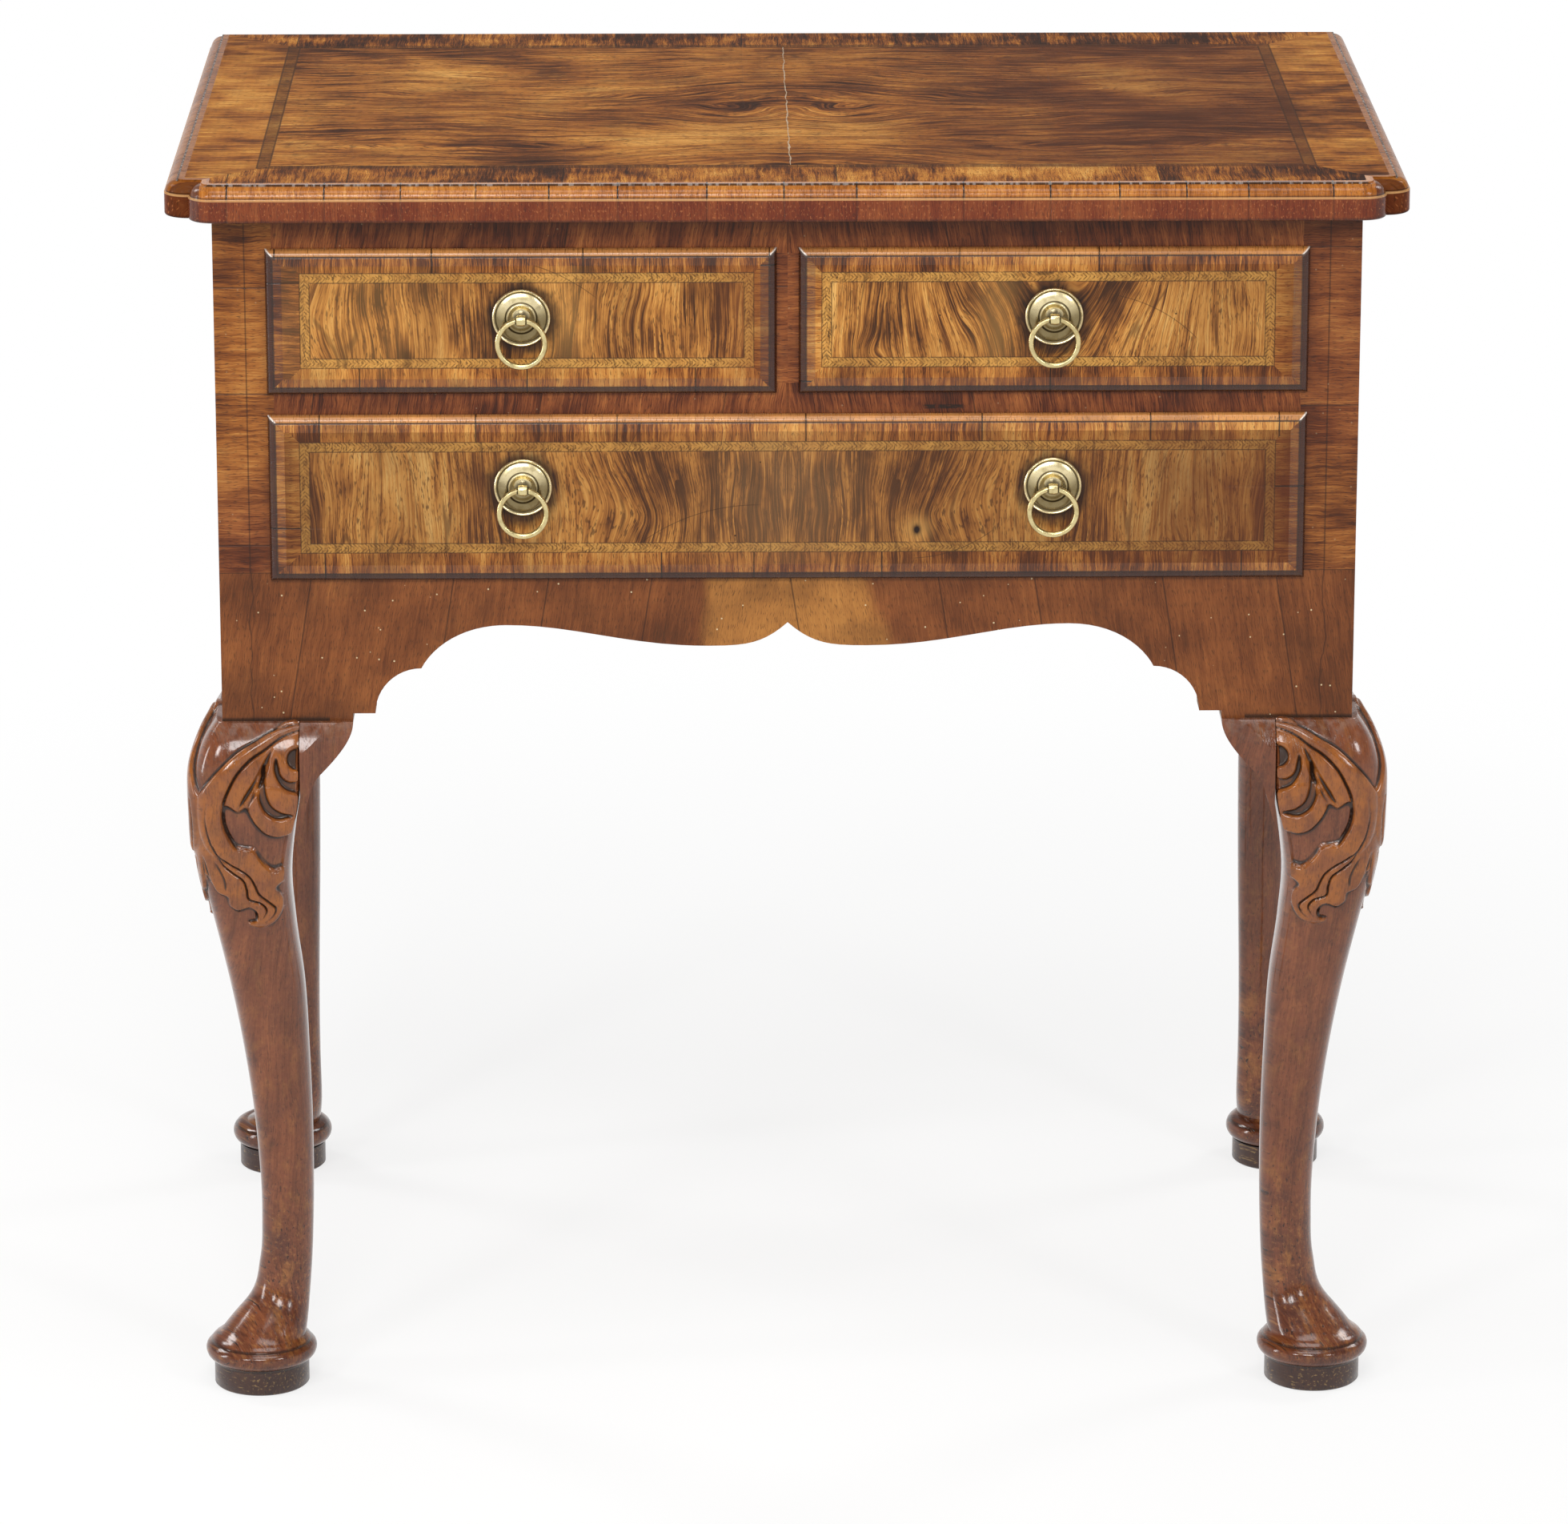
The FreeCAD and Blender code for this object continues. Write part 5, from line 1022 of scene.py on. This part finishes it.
# %% [markdown]
# ## The shape of a cabriole leg
# A cabriole leg is sawn from a square block in two directions and rounded with a spokeshave, so
# every level section is something between a square and a circle. Fifteen of these sections
# describe the shaft. Here each is a superellipse, whose squareness 2 is a circle and 20 is
# nearly a square, and smooth curves join them down the leg. The surface is one grid of points,
# closer together at the knee, where the carver's work needs them.

# %% Sections down the leg
# Height, outer face and inner face measured inwards from the case corner, then the squareness
# of the arris and of the other corners, all in millimetres.
LEG_SECTIONS = [
    (414, -4.1, 45, 5, 20), (404.1, -11.1, 45, 4.4, 20), (391.2, -16.3, 45, 4, 16),
    (371.8, -18.5, 44.4, 3.6, 10), (345.7, -17.6, 40.5, 3.3, 5.6), (320, -14.2, 38, 3.1, 3.5),
    (289.8, -7.8, 39.6, 2.9, 2.9), (250.1, 0, 43.8, 2.6, 2.6), (202.9, 7.6, 45.7, 2.4, 2.4),
    (149, 13.4, 46.7, 2.2, 2.2), (99.4, 15.2, 46, 2, 2), (72.5, 13.6, 44.8, 2, 2), (50, 6.9, 43.1, 2, 2),
    (39, -3.3, 42.2, 2, 2), (29, -12.1, 40.9, 2, 2),
]
# The pad foot as (radius, height): its spread top, a fine groove, the ring and the disc below.
PAD_OUTLINE = [(26.4, 30.6), (28.2, 29.3), (29.4, 28.1), (29.9, 27.4), (29.7, 26.7), (30.3, 26.2),
               (31.5, 25.5), (32.5, 24.3), (33, 22.6), (32.9, 20.8), (32.2, 18.8), (30.9, 17.1), (29.3, 15.9),
               (28.3, 15.2), (28.2, 14.4), (28.2, 8), (28.2, 1), (27.2, 0), (14, 0)]
FOOT_CENTRE = 14.4
SHAFT_END_Z = 31.0
KNEE_END_Z = 288.0
KNEE_BLOCK = 45.0
KNEE_STEP = 0.65
SHAFT_STEP = 3.2
FACE_COLUMNS = 95
BACK_COLUMNS = 26
# The square post inside the case, from the stile's back and down into the knee.
STILE_DEPTH = 20.0
POST_SINK = 45.0
POST_TOP_Z = 487.0


def smooth_values(places, values, wanted):
    """A smooth curve through values at rising places, read at the wanted places."""
    slopes = np.gradient(values, places)
    index = np.clip(np.searchsorted(places, wanted) - 1, 0, len(places) - 2)
    gap = places[index + 1] - places[index]
    t = (wanted - places[index]) / gap
    start, end = values[index], values[index + 1]
    return (start * (1 + 2 * t) * (1 - t) ** 2 + slopes[index] * gap * t * (1 - t) ** 2
            + end * t * t * (3 - 2 * t) + slopes[index + 1] * gap * t * t * (t - 1))


def section_points(outer, inner, arris, corner):
    """One level section, as distances in from the side and from the front of the case."""
    angle = np.radians(np.linspace(-45, 315, 1441))
    power = 2 / np.where((np.sin(angle) > 0) & (np.cos(angle) > 0), arris, corner)
    middle, half = (outer + inner) / 2, (inner - outer) / 2
    from_side, from_front = (middle - half * np.sign(wave) * np.abs(wave) ** power
                             for wave in (np.cos(angle), np.sin(angle)))
    length = np.concatenate([[0], np.cumsum(np.hypot(np.diff(from_side), np.diff(from_front)))])
    stretches = ((0, 360, FACE_COLUMNS), (360, 720, FACE_COLUMNS), (720, 1440, BACK_COLUMNS))
    wanted = np.concatenate([np.linspace(length[start], length[end], count, endpoint=False)
                             for start, end, count in stretches])
    return np.interp(wanted, length, from_side), np.interp(wanted, length, from_front)


table = np.array(LEG_SECTIONS[::-1])
heights = np.concatenate([np.arange(table[-1, 0], KNEE_END_Z, -KNEE_STEP),
                          np.arange(KNEE_END_Z, SHAFT_END_Z, -SHAFT_STEP)])
columns = [smooth_values(table[:, 0], table[:, index], heights) for index in range(1, 5)]
rows = np.array([section_points(*row) for row in zip(*columns)])
from_side, from_front = rows[:, 0], rows[:, 1]
print("leg grid:", from_side.shape)

# %% [markdown]
# ## Carving the knee
# The carver draws a leaf on the knee, cuts around it and lowers the ground, then models the
# leaf with gouges: a rounded stem that sweeps down from the bracket, flutes, round lobes with
# crescent hollows, and a curled tip below. The same leaf is carved on both faces and meets
# itself at the arris. Here the leaf is drawn flat, in millimetres from the joint with the
# bracket and down from the case. Closed outlines raise or lower the wood and open lines cut
# grooves, and the flat relief is then wrapped on to the leg.

# %% Draw the leaf
RELIEF_STEP = 0.4
RELIEF_U = np.arange(-8, 70, RELIEF_STEP)
RELIEF_V = np.arange(-4, 132, RELIEF_STEP)
flat_u, flat_v = np.meshgrid(RELIEF_U, RELIEF_V)


def drawn_line(points, closed=False):
    """A smooth line through given points, eight short runs between each two."""
    points = np.array(points, float)
    if closed:
        padded = np.vstack([points[-1], points, points[:2]])
    else:
        padded = np.vstack([2 * points[0] - points[1], points, 2 * points[-1] - points[-2]])
    t = np.linspace(0, 1, 8, endpoint=False)[:, None]
    runs = []
    for a, b, c, d in zip(padded, padded[1:], padded[2:], padded[3:]):
        runs.append(0.5 * (2 * b + (c - a) * t + (2 * a - 5 * b + 4 * c - d) * t ** 2
                           + (3 * b - a - 3 * c + d) * t ** 3))
    return np.vstack([*runs, runs[0][:1] if closed else points[-1:]])


def line_distance(line):
    """Distance of every spot of the flat relief from a line, and how far along it that is, 0 to 1."""
    best = np.full(flat_u.shape, 1e9)
    share = np.zeros(flat_u.shape)
    for index, (a, b) in enumerate(zip(line, line[1:])):
        run = b - a
        t = np.clip(((flat_u - a[0]) * run[0] + (flat_v - a[1]) * run[1]) / max(run @ run, 1e-9), 0, 1)
        away = np.hypot(flat_u - a[0] - t * run[0], flat_v - a[1] - t * run[1])
        closer = away < best
        best = np.where(closer, away, best)
        share = np.where(closer, (index + t) / (len(line) - 1), share)
    return best, share


def inside_outline(points):
    """Distance inwards from a closed outline, negative outside it."""
    line = drawn_line(points, True)
    away, _ = line_distance(line)
    inside = np.zeros(flat_u.shape, bool)
    for a, b in zip(line, line[1:]):
        crosses = (a[1] > flat_v) != (b[1] > flat_v)
        rise = np.where(b[1] == a[1], 1e-9, b[1] - a[1])
        inside ^= crosses & (flat_u < (b[0] - a[0]) * (flat_v - a[1]) / rise + a[0])
    return np.where(inside, away, -away)


def soft_step(distance, width):
    t = np.clip(distance / width + 0.5, 0, 1)
    return t * t * (3 - 2 * t)


def groove(width, depth, taper, points):
    """A gouge cut along a line. It starts and ends fine: taper is the share of its depth there."""
    away, share = line_distance(drawn_line(points))
    swell = taper + (1 - taper) * np.clip(4 * share * (1 - share) * 1.6, 0, 1)
    return -depth * swell * np.clip(1 - (away / (width / 2 * swell)) ** 2, 0, 1)


LEAF = [(-3, 1), (15, 4), (25, 9), (36, 15), (45, 23), (53, 32), (60, 43), (70, 60), (70, 96), (60, 104),
        (57, 100), (55, 90), (53, 93), (49, 100), (43, 103), (42, 108), (37, 112), (31, 110.5), (26.5, 114),
        (27.5, 118), (31, 119.5), (30.5, 121.5), (24, 123), (16.5, 119), (12.5, 112), (12, 104), (15.5, 98),
        (12, 94), (6, 92), (-3, 80)]
GROUND = [(43.5, 46), (45, 52), (44, 59), (41, 66), (37, 71), (32, 71.5), (27, 73), (24, 78), (20, 83),
          (16, 85.5), (10, 84.5), (2, 82), (-4, 60), (0, 57), (6, 63), (13, 65.3), (20, 63.5), (26, 57.5),
          (30, 50), (31.5, 47), (36, 49.5), (40, 47)]
STEM = [(0, 1.5), (15, 4.5), (25, 9.5), (36, 15.5), (45, 23.5), (53, 33), (58, 43), (58, 58), (54, 72),
        (46, 79), (40, 76), (38, 72.5), (42, 66), (45.5, 58), (46.5, 51), (45, 44), (41, 35), (35, 26),
        (27, 18), (19, 12.5), (10, 7), (0, 3.5)]
LOBE = [(28, 37), (30, 49), (26, 57), (20, 63), (13, 65), (6, 63), (0, 57), (-3, 48), (-3, 38), (8, 36),
        (18, 34)]
CRESCENT = [(20.5, 22), (24, 38), (22, 47), (17.5, 52), (12, 54), (5.5, 51.5), (12, 49), (17, 44.5),
            (19.5, 36)]
SCROLL = [(13.5, 18.5), (14.8, 25), (11.5, 33), (6, 37.5), (-2, 39), (-2, 32), (6, 31.5), (10.5, 28),
          (12, 23)]
GROOVES = [   # width, depth, taper and the line
    (1.4, 1.3, 0.5, [(0, 1), (15, 4), (25, 9), (36, 15), (45, 23), (53, 32), (59, 42)]),
    (1.9, 1.7, 0.5, [(0, 4), (11, 8), (20, 14), (28, 19), (36, 27), (41, 36), (44, 44), (45, 51), (44, 59),
                     (41, 66), (37, 72), (32, 72), (27, 74), (24, 79), (20, 84), (16, 87), (10, 86)]),
    (3.2, 2.1, 0.35, [(16, 14), (24, 29), (36, 48)]),
    (2.8, 1.9, 0.35, [(17, 15), (22, 30), (30, 46)]),
    (2.4, 1.4, 0.35, [(17, 17), (20, 28), (27, 38)]),
    (1.4, 1.4, 0.5, LOBE[:7]),
    (1.5, 1.5, 0.5, [(53, 44), (54, 55), (52, 67), (48, 76), (41, 82), (36, 85), (30, 90), (27, 96),
                     (25, 101), (20, 106), (16, 111), (18, 116), (22, 119)]),
    (1.5, 1.6, 0.5, [(50, 70), (46, 81), (40, 87), (34, 92), (32, 98), (31, 104), (24, 107), (21, 112),
                     (24, 118)]),
    (1.8, 1.6, 0.5, [(41, 110), (37, 112), (31, 110), (27, 113), (27, 118), (32, 119)]),
    (1.3, 1.2, 0.5, [(56, 78), (53, 91), (49, 100), (43, 103)]),
    (2.1, 1.0, 0.5, [(50, 80), (45, 91), (44, 99)]),
    (1.6, 1.3, 0.5, [(57, 3), (59, 20), (60, 44)]),
    (1.8, 1.2, 0.5, [(61, 20), (62, 45), (61, 80), (58.5, 100)]),
]

leaf_in, ground_in = inside_outline(LEAF), inside_outline(GROUND)
crescent_in, scroll_in = inside_outline(CRESCENT), inside_outline(SCROLL)
eye_in = 5.9 - np.hypot(flat_u - 1.4, flat_v - 19)
relief = 2.2 * soft_step(leaf_in, 1.6) - 3.6 * soft_step(ground_in, 1.8)
relief += 1.5 * np.sqrt(np.clip(inside_outline(STEM) / 4.5, 0, 1))
relief += 1.3 * np.sqrt(np.clip(inside_outline(LOBE) / 6, 0, 1))
relief -= 3.4 * soft_step(crescent_in, 2) + 3 * soft_step(scroll_in, 1.6) + 3.8 * soft_step(eye_in, 1.4)
relief += 1.2 * np.minimum.reduce([groove(*cut) for cut in GROOVES])


def blurred(field, radius):
    """The field smoothed over a few cells, to tell a hollow from its surroundings."""
    reach = int(3 * radius / RELIEF_STEP)
    weights = np.exp(-0.5 * (np.arange(-reach, reach + 1) * RELIEF_STEP / radius) ** 2)
    weights /= weights.sum()

    def smooth(row):
        return np.convolve(np.pad(row, reach, mode="edge"), weights, "valid")

    return np.apply_along_axis(smooth, 1, np.apply_along_axis(smooth, 0, field))


relief = blurred(relief, 0.28)
hollowness = np.clip((blurred(relief, 1.5) - relief) / 1.1, 0, 1)
for inside, share in ((crescent_in, 0.42), (scroll_in, 0.42), (eye_in, 0.60)):
    hollowness = np.maximum(hollowness, share * soft_step(inside - 0.6, 1.6))
leaf = soft_step(leaf_in, 2) * (1 - soft_step(ground_in, 2))
print("relief from", round(relief.min(), 2), "to", round(relief.max(), 2), "mm")

# %% Wrap the relief on to the leg and close the mesh


def read_flat(field, u, v):
    """The flat field read between its cells, zero beyond its edges."""
    column = (u - RELIEF_U[0]) / RELIEF_STEP
    row = (v - RELIEF_V[0]) / RELIEF_STEP
    within = (column >= 0) & (column < len(RELIEF_U) - 1) & (row >= 0) & (row < len(RELIEF_V) - 1)
    c = np.clip(column, 0, len(RELIEF_U) - 1.001)
    r = np.clip(row, 0, len(RELIEF_V) - 1.001)
    c0, r0 = c.astype(int), r.astype(int)
    fc, fr = c - c0, r - r0
    value = (field[r0, c0] * (1 - fc) * (1 - fr) + field[r0, c0 + 1] * fc * (1 - fr)
             + field[r0 + 1, c0] * (1 - fc) * fr + field[r0 + 1, c0 + 1] * fc * fr)
    return np.where(within, value, 0)


def carved_shaft():
    """The shaft's grid with the leaf pushed along its normals, and its two attributes."""
    grid = np.stack([from_side, from_front, np.broadcast_to(heights[:, None], from_side.shape)], axis=-1)
    around = np.roll(grid, -1, axis=1) - np.roll(grid, 1, axis=1)
    normal = np.cross(around, np.gradient(grid, axis=0))
    normal /= np.linalg.norm(normal, axis=-1, keepdims=True)
    if ((grid - grid.mean(axis=1, keepdims=True)) * normal).sum() < 0:
        normal = -normal
    u = KNEE_BLOCK - np.maximum(from_side, from_front)
    v = CASE_BOTTOM_Z - grid[..., 2]
    faces = (np.arange(from_side.shape[1]) < 2 * FACE_COLUMNS)[None, :] & (u > -2)
    fade = np.clip((heights[:, None] - KNEE_END_Z) / 6, 0, 1)
    push, hollow, carved = (np.where(faces, read_flat(field, u, v), 0) * fade
                            for field in (relief, hollowness, leaf))
    return grid + normal * push[..., None], {"hollow": hollow, "carved": carved}


def build_leg(name, turn):
    """One front leg with its square post, riding on the case; a turn of -1 makes its mirror twin."""
    shaft, attributes = carved_shaft()
    columns = shaft.shape[1]
    angles = np.arctan2(shaft[-1, :, 1] - FOOT_CENTRE, shaft[-1, :, 0] - FOOT_CENTRE)
    rings = [shaft.reshape(-1, 3)]
    for radius, z in PAD_OUTLINE:
        rings.append(np.stack([FOOT_CENTRE + radius * np.cos(angles), FOOT_CENTRE + radius * np.sin(angles),
                               np.full(columns, z)], axis=-1))
    grid = np.vstack(rings)
    first = np.arange(len(grid) - columns).reshape(-1, columns)
    after = np.roll(first, -1, axis=1)
    quads = np.stack([first, after, after + columns, first + columns], axis=-1).reshape(-1, 4)
    caps = [tuple(range(columns - 1, -1, -1)), tuple(range(len(grid) - columns, len(grid)))]
    post = np.array([(x, y, z) for x in (CASE_HALF_WIDTH - SIDE_INNER_X, KNEE_BLOCK)
                     for y in (STILE_DEPTH, KNEE_BLOCK) for z in (CASE_BOTTOM_Z - POST_SINK, POST_TOP_Z)])
    post_faces = [(0, 1, 3, 2), (4, 6, 7, 5), (0, 4, 5, 1), (2, 3, 7, 6), (0, 2, 6, 4), (1, 5, 7, 3)]
    shells = []
    for places, faces in ((grid, [tuple(quad) for quad in quads.tolist()] + caps), (post, post_faces)):
        x, y = turn * (CASE_HALF_WIDTH - places[:, 0]), CASE_FRONT_Y + places[:, 1]
        shells.append(((np.stack([x, y, places[:, 2]], axis=-1) * MM).tolist(), faces))
    leg = make_piece(name, shells, leg_finish, "carcase", 50)
    for label, values in attributes.items():
        stored = np.zeros(len(leg.data.vertices), np.float32)
        stored[:values.size] = values.ravel()
        leg.data.attributes.new(label, "FLOAT", "POINT").data.foreach_set("value", stored)
    return leg


for side, turn in (("right", 1), ("left", -1)):
    leg = build_leg("carved_front_leg_" + side, turn)
    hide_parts("front_leg_" + side)
    print(leg.name, len(leg.data.polygons), "faces")

# %% [markdown]
# ## Floor and light
# A pale floor fades into white a few steps behind the lowboy, so no horizon shows. Seven soft
# lamps stand for the windows of a pale room: in front, at both sides, overhead and behind. The
# room itself adds an even glow, at a plain level at which a colour looks as it is written. Its
# ceiling is darker than its walls where a polish mirrors it, so the flat top keeps its colour.

# %% Lay the floor
FLOOR_HALF = 12.0


def seen_rays(tree):
    """1 for rays from the camera, a gloss or a glass, and 0 for soft bounced light."""
    rays = add(tree, "ShaderNodeLightPath").outputs
    kinds = (Number(tree, rays[kind]) for kind in ("Is Camera Ray", "Is Glossy Ray", "Is Transmission Ray"))
    return sum(kinds).math("MINIMUM", 1)


def studio_floor():
    mesh = bpy.data.meshes.new("studio_floor")
    corners = [(x * FLOOR_HALF, y * FLOOR_HALF, 0) for x, y in ((-1, -1), (1, -1), (1, 1), (-1, 1))]
    mesh.from_pydata(corners, [], [(0, 1, 2, 3)])
    floor = show("studio_floor", mesh)
    material, x, y, _ = start_finish("pale_studio_floor")
    tree = material.node_tree
    shader = tree.nodes["Principled BSDF"]
    shader.inputs["Base Color"].default_value = colour("#F3F3F2")
    shader.inputs["Roughness"].default_value = 0.7
    away = distance(x, y, (0, 0)).ease(500, 1500) * 0.28 + 0.72
    white = add(tree, "ShaderNodeEmission", {"Color": "#FFFFFF", "Strength": 1})
    blend = add(tree, "ShaderNodeMixShader", {0: away * seen_rays(tree), 1: shader.outputs[0], 2: white})
    wire(tree, blend, tree.nodes["Material Output"].inputs["Surface"])
    mesh.materials.append(material)


studio_floor()

# %% Hang the lights
LAMPS = [   # name, place, height of the spot on the middle line that it faces, size and power
    ("left_window", (-1.9, -2.7, 2.3), 0.45, (0.5, 0.75), 22.0),
    ("left_doorway", (-2.6, -0.45, 0.95), 0.45, (0.32, 1.2), 14.0),
    ("right_window", (2.0, -2.5, 2.2), 0.45, (0.5, 0.7), 19.0),
    ("front_window", (-0.35, -2.9, 2.7), 0.40, (1.0, 0.9), 42.0),
    ("overhead", (0.0, -0.9, 3.2), 0.6, (1.8, 1.1), 24.0),
    ("left_rear_window", (-2.3, 1.3, 2.4), 0.3, (0.7, 0.9), 20.0),
    ("right_rear_window", (2.3, 1.3, 2.4), 0.3, (0.7, 0.9), 18.0),
]
for name, place, aim_z, size, power in LAMPS:
    lamp = bpy.data.lights.new(name, "AREA")
    lamp.shape = "RECTANGLE"
    lamp.size, lamp.size_y = size
    lamp.energy = power
    holder = show(name, lamp)
    holder.location = place
    holder.rotation_euler = (Vector((0, 0, aim_z)) - Vector(place)).to_track_quat("-Z", "Y").to_euler()

world = bpy.data.worlds.new("pale_room")
bpy.context.scene.world = world
world.use_nodes = True
room = world.node_tree
background = room.nodes["Background"]
background.inputs["Color"].default_value = colour("#FFFFFF")
direction = add(room, "ShaderNodeSeparateXYZ", {0: add(room, "ShaderNodeTexCoord").outputs["Generated"]})
dome = 1 - Number(room, direction.outputs[2]).ease(0.12, 0.42) * 0.7
wire(room, seen_rays(room).pick(0.42, dome), background.inputs["Strength"])
bpy.context.scene.view_settings.view_transform = "Standard"
print("lights hung")
